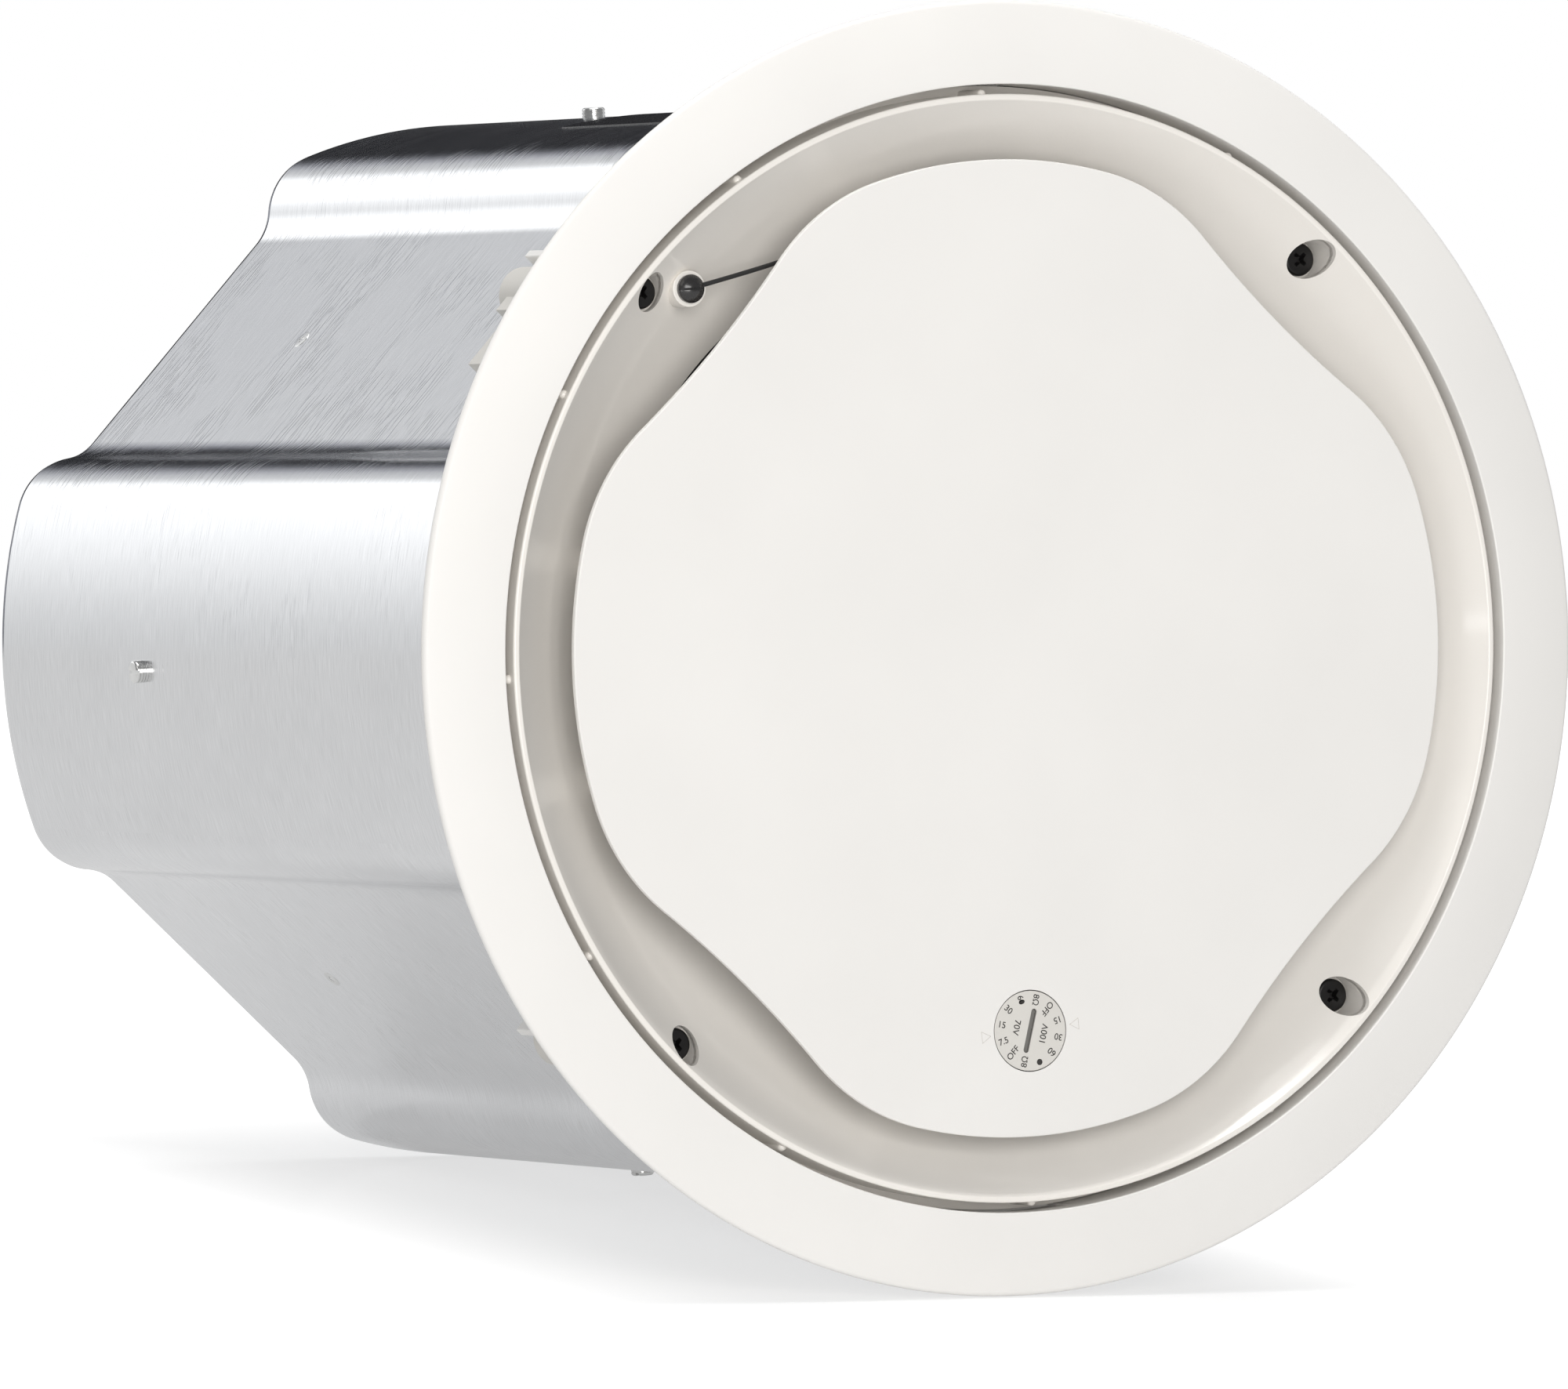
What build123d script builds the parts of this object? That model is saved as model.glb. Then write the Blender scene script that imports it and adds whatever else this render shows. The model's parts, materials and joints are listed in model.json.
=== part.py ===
"""In-ceiling loudspeaker with a four-lobed steel back can, seen with its grille off.

Millimetres. The frame is that of the installed speaker: +Z points up into the ceiling
void, the front faces -Z, and the origin is on the axis at the ceiling plane, where the
back of the bezel seats. The lobes of the can lie on the X and Y axes, and the four
clamps lie on the diagonals.
"""
from build123d import *

import os
from math import acos, cos, degrees, hypot, radians, sin, sqrt

os.makedirs("parts", exist_ok=True)

# Bezel and the groove that takes the grille
BEZEL_RADIUS = 205.0
BEZEL_WIDTH = 26.6
BEZEL_DEPTH = 7.0
BEZEL_EDGE_DROP = 5.1
BEZEL_CROWN = 0.5
EDGE_START_ANGLE = -78.0
BEZEL_SKIN = 2.7
BEZEL_RIBS = 24
BEZEL_RIB_THICKNESS = 1.8
SEAT_LIP = 4.5
GROOVE_WIDTH = 3.1
GROOVE_DEPTH = 18.0
COLLAR_WALL = 2.6
CATCH_WIDTH = 31.0
CATCH_DEPTH = 0.9
CATCH_DROP = 9.0
FLANGE_THICKNESS = 3.0
FLANGE_WIDTH = 22.5

# Flared dish that carries the driver
RIM_WIDTH = 1.8
RIM_SETBACK = 0.66
DISH_MID_WIDTH = 14.3
DISH_MID_DEPTH = 15.2
DISH_WIDTH = 41.5
THROAT_DEPTH = 29.2
DISH_WALL = 2.6
DISH_FLOOR = 5.5
DRIVER_SEAT_DEPTH = 32.0
DRIVER_SEAT_WIDTH = 15.5
STOP_RIBS = 12
STOP_RIB_RADIUS = 1.5
STOP_RIB_SETBACK = 3.4

# Deflector plate in front of the driver
PLATE_OVERLAP = 22.6
PLATE_SHOULDER = 68.0
PLATE_VALLEY = 363.0
PLATE_WAIST_DEPTH = 13.4
PLATE_SETBACK = 0.25
PLATE_THICKNESS = 2.2
PLATE_EDGE = 0.5
POST_RADIUS = 4.0
POST_INSET = 6.0
POST_ANGLE = 14.0
POST_FOOT = 5.5
POST_FOOT_RISE = 2.8
PEG_RADIUS = 2.4
PEG_LENGTH = 4.5

# Tap selector
DIAL_RADIUS = 12.7
DIAL_INSET = 10.9
DIAL_THICKNESS = 2.0
DIAL_TURN = 16.0
DIAL_SLOT_LENGTH = 14.3
DIAL_SLOT_WIDTH = 1.9
DIAL_SLOT_DEPTH = 0.9
SPINDLE_RADIUS = 3.0
SPINDLE_LENGTH = 7.0
SWITCH_RADIUS = 12.0
SWITCH_FLANGE_RADIUS = 17.0
SWITCH_FLANGE = 1.5
SWITCH_DEPTH = 12.5

# Lanyard that holds the plate when it is taken off
BUTTON_INSET = 25.0
BUTTON_ANGLE = 49.0
BUTTON_SEAT_DEPTH = 11.0
BUTTON_RADIUS = 4.5
BUTTON_COLLAR = 1.6
BUTTON_DOME = 2.0
BUTTON_SLOT = 0.7
STEM_RADIUS = 1.8
STEM_LENGTH = 4.0
BUTTON_BOSS_RADIUS = 5.8
LANYARD_RADIUS = 0.75
LANYARD_SINK = 0.5
ANCHOR_INSET = 8.4
ANCHOR_ANGLE = 68.3
ANCHOR_RADIUS = 2.5
ANCHOR_LENGTH = 11.0

# Clamps: a screw, a threaded bush and a swing-out dog at each corner
CORNERS = 4
CLAMP_INSET = 8.3
SCREW_HEAD_DEPTH = 15.0
SCREW_HEAD_RADIUS = 5.3
SCREW_HEAD_HEIGHT = 2.8
SCREW_RADIUS = 2.5
SCREW_TIP_SETBACK = 1.5
POCKET_WALL = 2.0
POCKET_PLAY = 0.9
BUSH_RADIUS = 5.0
BUSH_LENGTH = 12.0
BUSH_FLANGE_RADIUS = 6.5
BUSH_FLANGE = 2.0
DOG_BOTTOM = 58.0
DOG_HUB_RADIUS = 9.2
DOG_HUB_HEIGHT = 32.5
DOG_ARM_LENGTH = 35.5
DOG_ARM_OUTER = 6.5
DOG_ARM_WIDTH = 8.5
DOG_ARM_ROOT_HEIGHT = 27.0
DOG_ARM_TIP_HEIGHT = 15.0
DOG_ARM_ROOT = 12.2
TOWER_RISE = 1.5
TOWER_WALL = 2.8
TOWER_SHELTER = 8.0
TOWER_STOP_REACH = 8.0
TOWER_CUT_GAP = 3.0

# Back can
CAN_INSET = 0.9
CAN_SHOULDER = 21.9
CAN_VALLEY = 17.6
CAN_WAIST_DEPTH = 25.0
CAN_SHOULDER_ANGLE = 18.0
CAN_WALL = 1.0
CAN_END_DEPTH = 391.7
CAN_FLANGE_INSET = 1.0
FLANGE_SCREW_INSET = 2.0
FLANGE_SCREW_ANGLE = 17.5
FLANGE_SCREW_BITE = 8.0
FLANGE_BOSS_RADIUS = 4.5

# Common screws
M4_RADIUS = 2.0
M4_HEAD_RADIUS = 3.5
M4_HEAD_HEIGHT = 2.4

# Tray for the line transformer, held by screws through the can
TRAY_THICKNESS = 1.5
TRAY_TO_END = 122.7
TRAY_TAB_WIDTH = 18.0
TRAY_TAB_MARGIN = 8.0
TRAY_HOLE_RADIUS = 22.0
TRAY_HOLE_INSET = 62.4
LOBE_SCREW_RISE = 11.0
LOBE_HEAD_RADIUS = 3.75
LOBE_HEAD_HEIGHT = 3.3
FLAT_SCREW_RISE = 22.0
FLAT_HEAD_RADIUS = 3.4
FLAT_HEAD_PROUD = 0.5
TRAY_SCREW_LENGTH = 8.0

# Line transformer
CORE_LENGTH = 96.0
CORE_WIDTH = 80.0
CORE_STACK = 40.0
CORE_LEG = 32.0
WINDOW_WIDTH = 16.0
WINDOW_LENGTH = 48.0
COIL_OVERHANG = 13.5
COIL_CLEARANCE = 0.5
COIL_CORNER = 6.0
BRACKET_THICKNESS = 2.0
BRACKET_WIDTH = 60.0
BRACKET_FOOT = 18.0
BRACKET_GRIP = 26.0
BRACKET_SCREW_SPACING = 40.0

# Woofer
GASKET_THICKNESS = 2.0
FRAME_PLAY = 1.5
FRAME_FLANGE = 4.0
FRAME_LAND = 2.0
FRAME_RIM_WIDTH = 13.0
FRAME_WALL = 2.5
FRAME_LAND_WIDTH = 10.0
FRAME_NECK_RADIUS = 69.0
FRAME_NECK_DEPTH = 50.0
FRAME_DEPTH = 69.0
FRAME_BASE_HOLE = 34.0
FRAME_WINDOWS = 6
FRAME_WINDOW_WIDTH = 46.0
FRAME_WINDOW_MARGIN = 11.0
SPIDER_SHELF_RADIUS = 58.0
SPIDER_SHELF_DEPTH = 53.0
SPIDER_SHELF = 2.0
DRIVER_SCREWS = 8
DRIVER_SCREW_INSET = 5.0
DRIVER_SCREW_BITE = 4.5
COIL_BORE = 25.4
COIL_WALL = 1.2
COIL_LENGTH = 42.0
COIL_FRONT_DEPTH = 43.0
GAP_INNER = 0.4
GAP_OUTER = 0.6
TOP_PLATE_RADIUS = 62.0
TOP_PLATE_THICKNESS = 8.0
MAGNET_RADIUS = 78.0
MAGNET_BORE = 40.0
MAGNET_THICKNESS = 24.0
BACK_PLATE_RADIUS = 68.0
BACK_PLATE_THICKNESS = 8.0
POLE_VENT = 9.0
CONE_LIP = 6.0
CONE_WALL = 1.2
CONE_NECK = 4.0
DUST_CAP_RADIUS = 38.0
DUST_CAP_RISE = 11.0
DUST_CAP_WALL = 1.0
DUST_CAP_GLUE = 0.2
SURROUND_WALL = 1.5
SURROUND_WIDTH = 16.0
SPIDER_WALL = 1.0
SPIDER_WAVES = 4
SPIDER_WAVE_HEIGHT = 2.4

# Rear cover and wiring compartment
COVER_THICKNESS = 1.2
COVER_RECESS = 1.3
COVER_RIM = 13.0
CUP_LENGTH = 102.0
CUP_WIDTH = 72.0
CUP_DEPTH = 43.0
CUP_CORNER = 6.0
CUP_FLANGE = 11.0
LID_THICKNESS = 1.5
TERMINAL_LENGTH = 52.0
TERMINAL_WIDTH = 18.0
TERMINAL_HEIGHT = 16.0
TERMINAL_WAYS = 4
TERMINAL_FUNNEL = 3.4
TERMINAL_CORNER = 1.5
GLAND_INSET = 21.0
GLAND_RADIUS = 13.0
GLAND_BORE = 8.0
GLAND_LENGTH = 18.0
GLAND_FLANGE_RADIUS = 17.0
GLAND_FLANGE = 3.0
SAFETY_Y = 110.0
SAFETY_WIDTH = 30.0
SAFETY_FOOT = 26.0
SAFETY_HEIGHT = 28.0
SAFETY_THICKNESS = 2.0
SAFETY_HOLE = 4.5
SAFETY_RIVET_RADIUS = 2.0
SAFETY_RIVET_HEAD = 3.6
SAFETY_RIVET_RISE = 1.6

# Clearances
SLIP = 0.3
RUNNING = 0.1
SCREW_PLAY = 0.2
PILOT_PLAY = 0.05
SHEET_PLAY = 0.4
HUB_PLAY = 0.5
TOUCHING = 1e-6

# Places worked out from the sizes above
FRONT = -BEZEL_DEPTH
GROOVE_RADIUS = BEZEL_RADIUS - BEZEL_WIDTH
RIM_RADIUS = GROOVE_RADIUS - GROOVE_WIDTH
RIM_INNER = RIM_RADIUS - RIM_WIDTH
THROAT_RADIUS = RIM_INNER - DISH_WIDTH
DISH_MID_RADIUS = RIM_INNER - DISH_MID_WIDTH
DRIVER_SEAT_RADIUS = THROAT_RADIUS + DRIVER_SEAT_WIDTH
PLATE_LOBE = THROAT_RADIUS + PLATE_OVERLAP
PLATE_WAIST = PLATE_LOBE - PLATE_WAIST_DEPTH
CLAMP_RADIUS = RIM_RADIUS - CLAMP_INSET
CAN_LOBE = RIM_RADIUS - CAN_INSET
CAN_WAIST = CAN_LOBE - CAN_WAIST_DEPTH
FLANGE_OPENING = RIM_RADIUS - FLANGE_WIDTH
FRAME_RADIUS = DRIVER_SEAT_RADIUS - FRAME_PLAY
FRAME_LAND_RADIUS = FRAME_RADIUS - FRAME_RIM_WIDTH
FRAME_SHOULDER_RADIUS = FRAME_LAND_RADIUS - FRAME_LAND_WIDTH
CONE_LIP_RADIUS = FRAME_SHOULDER_RADIUS - SURROUND_WIDTH
COLLAR_RADIUS = GROOVE_RADIUS + COLLAR_WALL
CAN_FLANGE_RADIUS = COLLAR_RADIUS - CAN_FLANGE_INSET
GROOVE_FLOOR = FRONT + GROOVE_DEPTH
FLANGE_FRONT = GROOVE_FLOOR + DISH_FLOOR
FLANGE_BACK = FLANGE_FRONT + FLANGE_THICKNESS
CAN_END = FRONT + CAN_END_DEPTH
DRIVER_SEAT = FRONT + DRIVER_SEAT_DEPTH
PLATE_FRONT = FRONT + PLATE_SETBACK
PLATE_BACK = PLATE_FRONT + PLATE_THICKNESS
SCREW_SEAT = FRONT + SCREW_HEAD_DEPTH + SCREW_HEAD_HEIGHT
BUTTON_SEAT = FRONT + BUTTON_SEAT_DEPTH
FRAME_FRONT = DRIVER_SEAT + GASKET_THICKNESS
LAND = FRAME_FRONT + FRAME_LAND
MOTOR_FRONT = LAND + FRAME_DEPTH
COVER_BACK = CAN_END - COVER_RECESS
LID_FRONT = COVER_BACK + COVER_THICKNESS
DOG_TOP = DOG_BOTTOM + DOG_HUB_HEIGHT
TOWER_TOP = DOG_TOP + TOWER_RISE
SCREW_TIP = DOG_TOP - SCREW_TIP_SETBACK
TRAY_FRONT = CAN_END - TRAY_TO_END
TRAY_BACK = TRAY_FRONT + TRAY_THICKNESS
LOBE_SCREW_HEIGHT = TRAY_FRONT + LOBE_SCREW_RISE
FLAT_SCREW_HEIGHT = TRAY_FRONT + FLAT_SCREW_RISE
CAN_SEAT = FLANGE_BACK + CAN_WALL
DRIVER_BACK = FRAME_FRONT + FRAME_FLANGE
LID_BACK = LID_FRONT + LID_THICKNESS
BRACKET_SEAT = TRAY_BACK + BRACKET_THICKNESS
GLAND_X = CUP_LENGTH / 2 - GLAND_INSET
MAGNET_FRONT = MOTOR_FRONT + TOP_PLATE_THICKNESS
CORE_FRONT = TRAY_BACK + COIL_OVERHANG + COIL_CLEARANCE
BRACKET_PLACES = [
    (side_x * (CORE_LENGTH + BRACKET_FOOT + 2 * BRACKET_THICKNESS) / 2, side_y * BRACKET_SCREW_SPACING / 2)
    for side_x in (-1, 1)
    for side_y in (-1, 1)
]
LID_PLACES = [
    (side_x * (CUP_LENGTH + CUP_FLANGE) / 2, side_y * (CUP_WIDTH + CUP_FLANGE) / 2)
    for side_x in (-1, 1)
    for side_y in (-1, 1)
]
RIVET_PLACES = [(side * SAFETY_WIDTH / 4, SAFETY_Y - SAFETY_FOOT / 2) for side in (-1, 1)]


def polar(radius, angle):
    """Point in the XY plane at a radius and an angle in degrees."""
    return Vector(radius * cos(radians(angle)), radius * sin(radians(angle)))


def box(x, y, z):
    """Box between three (low, high) pairs."""
    middle = [sum(pair) / 2 for pair in (x, y, z)]
    size = [high - low for low, high in (x, y, z)]
    return Pos(*middle) * Box(*size)


def rod(radius, bottom, top, place=(0.0, 0.0)):
    """Upright cylinder between two heights at a place in the XY plane."""
    x, y = tuple(place)[:2]
    return Pos(x, y, (bottom + top) / 2) * Cylinder(radius, top - bottom)


def tube(outer, inner, bottom, top):
    """Upright tube on the axis between two heights."""
    return rod(outer, bottom, top) - rod(inner, bottom, top)


def turned(outline):
    """Solid turned about Z from the edges of a closed (radius, height) outline."""
    return revolve(Plane.XZ * make_face(outline), Axis.Z)


def cluster(solids):
    """Many overlapping or separate solids as one tool for a cut or a join."""
    return Part() + list(solids)


def arc_middle(centre, radius, start, end):
    """Middle point of the short arc about a centre between two of its points."""
    return centre + ((start - centre) + (end - centre)).normalized() * radius


def flipped(point):
    """A point mirrored in the diagonal of the XY plane."""
    return Vector(point.Y, point.X)


def lobed_face(lobe, shoulder, valley, waist, shoulder_angle):
    """Four lobes on the axes, joined across each diagonal by a valley and any flat."""
    diagonal = polar(1, 45)
    across = polar(1, -45)
    shoulder_centre = polar(lobe - shoulder, shoulder_angle)
    rise = waist + valley - shoulder_centre.dot(diagonal)
    flat_half = shoulder_centre.dot(across) - sqrt((shoulder + valley) ** 2 - rise**2)
    valley_centre = diagonal * (waist + valley) + across * flat_half
    lobe_end = polar(lobe, shoulder_angle)
    blend = shoulder_centre + (valley_centre - shoulder_centre).normalized() * shoulder
    flat_end = diagonal * waist + across * flat_half
    shoulder_mid = arc_middle(shoulder_centre, shoulder, lobe_end, blend)
    valley_mid = arc_middle(valley_centre, valley, blend, flat_end)
    quarter = [
        ThreePointArc(polar(lobe, -shoulder_angle), polar(lobe, 0), lobe_end),
        ThreePointArc(lobe_end, shoulder_mid, blend),
        ThreePointArc(blend, valley_mid, flat_end),
        ThreePointArc(flipped(flat_end), flipped(valley_mid), flipped(blend)),
        ThreePointArc(flipped(blend), flipped(shoulder_mid), flipped(lobe_end)),
    ]
    if flat_half > TOUCHING:
        quarter.append(Line(flat_end, flipped(flat_end)))
    return make_face([Rot(0, 0, 90 * turn) * edge for turn in range(4) for edge in quarter])


def plate_face():
    """Plate outline: one wide valley arc crosses each diagonal, with no flat."""
    near = PLATE_LOBE - PLATE_SHOULDER
    far = PLATE_WAIST + PLATE_VALLEY
    reach = PLATE_SHOULDER + PLATE_VALLEY
    spread = degrees(acos((near**2 + far**2 - reach**2) / (2 * near * far)))
    return lobed_face(PLATE_LOBE, PLATE_SHOULDER, PLATE_VALLEY, PLATE_WAIST, 45 - spread)


def can_solid(inset, bottom, top):
    """Solid of the can's section, set in from its outer face, between two heights."""
    face = lobed_face(
        CAN_LOBE - inset,
        CAN_SHOULDER - inset,
        CAN_VALLEY + inset,
        CAN_WAIST - inset,
        CAN_SHOULDER_ANGLE,
    )
    return Pos(0, 0, bottom) * extrude(face, top - bottom)


def corner(index):
    """Place of a clamp's screw axis: local X points outward."""
    return Rot(0, 0, 45 + 90 * index) * Pos(CLAMP_RADIUS, 0, 0)


def at_corners(solid):
    """Copies of a solid at the four clamp places."""
    return [corner(index) * solid for index in range(CORNERS)]


def pan_screw(seat, tip, place, radius=M4_RADIUS):
    """Screw that enters towards -Z, with its head on a seat."""
    return rod(M4_HEAD_RADIUS, seat, seat + M4_HEAD_HEIGHT, place) + rod(radius, tip, seat, place)


RIM_FRONT = FRONT + RIM_SETBACK
THROAT = FRONT + THROAT_DEPTH
DISH_ARC = ThreePointArc(
    (RIM_INNER, RIM_FRONT),
    (DISH_MID_RADIUS, FRONT + DISH_MID_DEPTH),
    (THROAT_RADIUS, THROAT),
)
DISH_CENTRE = DISH_ARC.arc_center
DISH_RADIUS = DISH_ARC.radius


def dish_height(radius, behind=0.0):
    """Height of the dish's surface at a radius, or of a surface set behind it."""
    return DISH_CENTRE.Y + sqrt((DISH_RADIUS + behind) ** 2 - (radius - DISH_CENTRE.X) ** 2)


def dish_radius(height):
    """Radius at which the dish's surface reaches a height."""
    return DISH_CENTRE.X + sqrt(DISH_RADIUS**2 - (height - DISH_CENTRE.Y) ** 2)


FLANGE_PLACES = [
    polar(CLAMP_RADIUS - FLANGE_SCREW_INSET, 45 + 90 * index + side * FLANGE_SCREW_ANGLE)
    for index in range(CORNERS)
    for side in (-1, 1)
]
POST_PLACES = [
    polar(THROAT_RADIUS + POST_INSET, 90 * index + side * POST_ANGLE) for index in range(4) for side in (-1, 1)
]
DRIVER_PLACES = [
    polar(FRAME_RADIUS - DRIVER_SCREW_INSET, 360 / DRIVER_SCREWS * (n + 0.5)) for n in range(DRIVER_SCREWS)
]
FOOT_FRONT = dish_height(THROAT_RADIUS + POST_INSET) - POST_FOOT_RISE
BUTTON_PLACE = tuple(polar(THROAT_RADIUS + BUTTON_INSET, BUTTON_ANGLE))[:2]
ANCHOR_PLACE = tuple(polar(THROAT_RADIUS + ANCHOR_INSET, ANCHOR_ANGLE))[:2]
DIAL_PLACE = (0, DIAL_INSET - THROAT_RADIUS)


def bezel_ring():
    """Bezel, groove wall, collar, back flange and the four clamp towers in one moulding."""
    edge = BEZEL_DEPTH - BEZEL_EDGE_DROP
    edge_centre = Vector(BEZEL_RADIUS - edge, -edge)
    edge_start = edge_centre + polar(edge, EDGE_START_ANGLE)
    edge_end = edge_centre + polar(edge, 90)
    lip = Vector(GROOVE_RADIUS, FRONT)
    chord = edge_start - lip
    crown = lip + chord / 2 + Vector(chord.Y, -chord.X).normalized() * BEZEL_CROWN
    outline = [
        ThreePointArc(lip, crown, edge_start),
        ThreePointArc(edge_start, edge_centre + polar(edge, 0), edge_end),
        Polyline(
            edge_end,
            (COLLAR_RADIUS, 0),
            (COLLAR_RADIUS, FLANGE_BACK),
            (FLANGE_OPENING, FLANGE_BACK),
            (FLANGE_OPENING, FLANGE_FRONT),
            (GROOVE_RADIUS, FLANGE_FRONT),
            lip,
        ),
    ]
    ring = turned(outline) - back_channel(edge_start)
    ring += cluster(at_corners(clamp_tower()))
    ring -= cluster(at_corners(rod(SCREW_RADIUS + SLIP, FLANGE_FRONT, FLANGE_BACK)))
    ring -= cluster(rod(M4_RADIUS + SCREW_PLAY, FLANGE_FRONT, FLANGE_BACK, at) for at in FLANGE_PLACES)
    catch = box(
        (0, GROOVE_RADIUS + CATCH_DEPTH),
        (-CATCH_WIDTH / 2, CATCH_WIDTH / 2),
        (FRONT + CATCH_DROP, FLANGE_FRONT),
    )
    return ring - cluster(Rot(0, 0, 90 * index) * catch for index in range(4))


def back_channel(edge_start):
    """Hollow behind the bezel's face, less the ribs that cross it."""
    inner = COLLAR_RADIUS + BEZEL_SKIN
    outer = BEZEL_RADIUS - SEAT_LIP
    slope = (edge_start.Y - FRONT) / (edge_start.X - GROOVE_RADIUS)
    inner_floor = FRONT + (inner - GROOVE_RADIUS) * slope + BEZEL_SKIN
    outer_floor = FRONT + (outer - GROOVE_RADIUS) * slope + BEZEL_SKIN
    channel = turned(Polyline((inner, 0), (outer, 0), (outer, outer_floor), (inner, inner_floor), close=True))
    half = BEZEL_RIB_THICKNESS / 2
    rib = box((inner - BEZEL_SKIN, outer + SEAT_LIP), (-half, half), (FRONT, -FRONT))
    return channel - cluster(Rot(0, 0, 360 / BEZEL_RIBS * (n + 0.5)) * rib for n in range(BEZEL_RIBS))


def clamp_tower():
    """Inner guide wall and stop wall beside a clamp screw, in the corner's own frame."""
    near = DOG_HUB_RADIUS + HUB_PLAY
    far = near + TOWER_WALL
    height = (FLANGE_BACK, TOWER_TOP)
    guide = box((-far, -near), (-TOWER_SHELTER, far), height)
    stop = box((-far, TOWER_STOP_REACH), (near, far), height)
    return guide + stop


def dish():
    """Rim, flared dish, groove floor and driver seat, with bosses and screw pockets."""
    lip = GROOVE_RADIUS - SLIP
    wall_start = Vector(DRIVER_SEAT_RADIUS, dish_height(DRIVER_SEAT_RADIUS, DISH_WALL))
    wall_mid = Vector(DISH_MID_RADIUS, dish_height(DISH_MID_RADIUS, DISH_WALL))
    wall_end = Vector(RIM_INNER, dish_height(RIM_INNER, DISH_WALL))
    outline = [
        DISH_ARC,
        Polyline(
            (THROAT_RADIUS, THROAT),
            (THROAT_RADIUS, DRIVER_SEAT),
            (DRIVER_SEAT_RADIUS, DRIVER_SEAT),
            wall_start,
        ),
        ThreePointArc(wall_start, wall_mid, wall_end),
        Polyline(
            wall_end,
            (RIM_INNER, FLANGE_FRONT),
            (lip, FLANGE_FRONT),
            (lip, GROOVE_FLOOR),
            (RIM_RADIUS, GROOVE_FLOOR),
            (RIM_RADIUS, RIM_FRONT),
            (RIM_INNER, RIM_FRONT),
        ),
    ]
    pocket = SCREW_HEAD_RADIUS + POCKET_PLAY
    bosses = [rod(FLANGE_BOSS_RADIUS, FRONT, FLANGE_FRONT, at) for at in FLANGE_PLACES]
    bosses += at_corners(rod(pocket + POCKET_WALL, FRONT, FLANGE_FRONT))
    body = turned(outline) + (dish_backing() & cluster(bosses))
    body += cluster(rod(POST_FOOT, FOOT_FRONT, DRIVER_SEAT - DISH_WALL, at) for at in POST_PLACES)
    boss_back = dish_height(hypot(*BUTTON_PLACE), DISH_WALL)
    body += rod(BUTTON_BOSS_RADIUS, BUTTON_SEAT, boss_back, BUTTON_PLACE)
    body += cluster(stop_rib(360 / STOP_RIBS * n) for n in range(STOP_RIBS))
    body -= cluster(at_corners(rod(pocket, FRONT, SCREW_SEAT)))
    body -= cluster(at_corners(rod(SCREW_RADIUS + SLIP, SCREW_SEAT, FLANGE_FRONT)))
    pilot = M4_RADIUS + PILOT_PLAY
    body -= cluster(rod(pilot, FLANGE_FRONT - FLANGE_SCREW_BITE, FLANGE_FRONT, at) for at in FLANGE_PLACES)
    body -= cluster(rod(pilot, DRIVER_SEAT - DRIVER_SCREW_BITE, DRIVER_SEAT, at) for at in DRIVER_PLACES)
    socket = PEG_RADIUS + RUNNING
    body -= cluster(rod(socket, FOOT_FRONT, FOOT_FRONT + PEG_LENGTH + SLIP, at) for at in POST_PLACES)
    return body - rod(STEM_RADIUS + RUNNING, BUTTON_SEAT, BUTTON_SEAT + STEM_LENGTH + SLIP, BUTTON_PLACE)


def dish_backing():
    """Space behind the dish's face, which the bosses fill."""
    start = Vector(RIM_INNER, RIM_FRONT)
    middle = Vector(DISH_MID_RADIUS, dish_height(DISH_MID_RADIUS))
    end = Vector(dish_radius(FLANGE_FRONT), FLANGE_FRONT)
    return turned([ThreePointArc(start, middle, end), Polyline(end, (RIM_INNER, FLANGE_FRONT), start)])


def stop_rib(angle):
    """Half-round rib with a domed end on the rim's outer face, which grips the grille."""
    front = FRONT + STOP_RIB_SETBACK + STOP_RIB_RADIUS
    place = polar(RIM_RADIUS, angle)
    dome = Pos(place.X, place.Y, front) * Sphere(STOP_RIB_RADIUS)
    return rod(STOP_RIB_RADIUS, front, GROOVE_FLOOR, place) + dome


def deflector_plate():
    """Lobed plate with posts that plug into the dish, and the lanyard's anchor peg."""
    blank = extrude(plate_face(), PLATE_THICKNESS)
    blank = fillet(blank.faces().sort_by(Axis.Z)[0].edges(), PLATE_EDGE)
    plate = Pos(0, 0, PLATE_FRONT) * blank - rod(DIAL_RADIUS + SLIP, PLATE_FRONT, PLATE_BACK, DIAL_PLACE)
    plate += cluster(rod(POST_RADIUS, PLATE_BACK, FOOT_FRONT, at) for at in POST_PLACES)
    plate += cluster(rod(PEG_RADIUS, FOOT_FRONT, FOOT_FRONT + PEG_LENGTH, at) for at in POST_PLACES)
    return plate + rod(ANCHOR_RADIUS, PLATE_BACK, PLATE_BACK + ANCHOR_LENGTH, ANCHOR_PLACE)


def tap_dial():
    """Selector dial with a round-ended slot, flush with the plate, on its spindle."""
    back = PLATE_FRONT + DIAL_THICKNESS
    dial = rod(DIAL_RADIUS, PLATE_FRONT, back) + rod(SPINDLE_RADIUS, back, back + SPINDLE_LENGTH)
    slot = extrude(SlotOverall(DIAL_SLOT_LENGTH, DIAL_SLOT_WIDTH), DIAL_SLOT_DEPTH)
    slot = Pos(0, 0, PLATE_FRONT) * Rot(0, 0, 90) * slot
    return Pos(*DIAL_PLACE, 0) * (dial - Rot(0, 0, DIAL_TURN) * slot)


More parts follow.
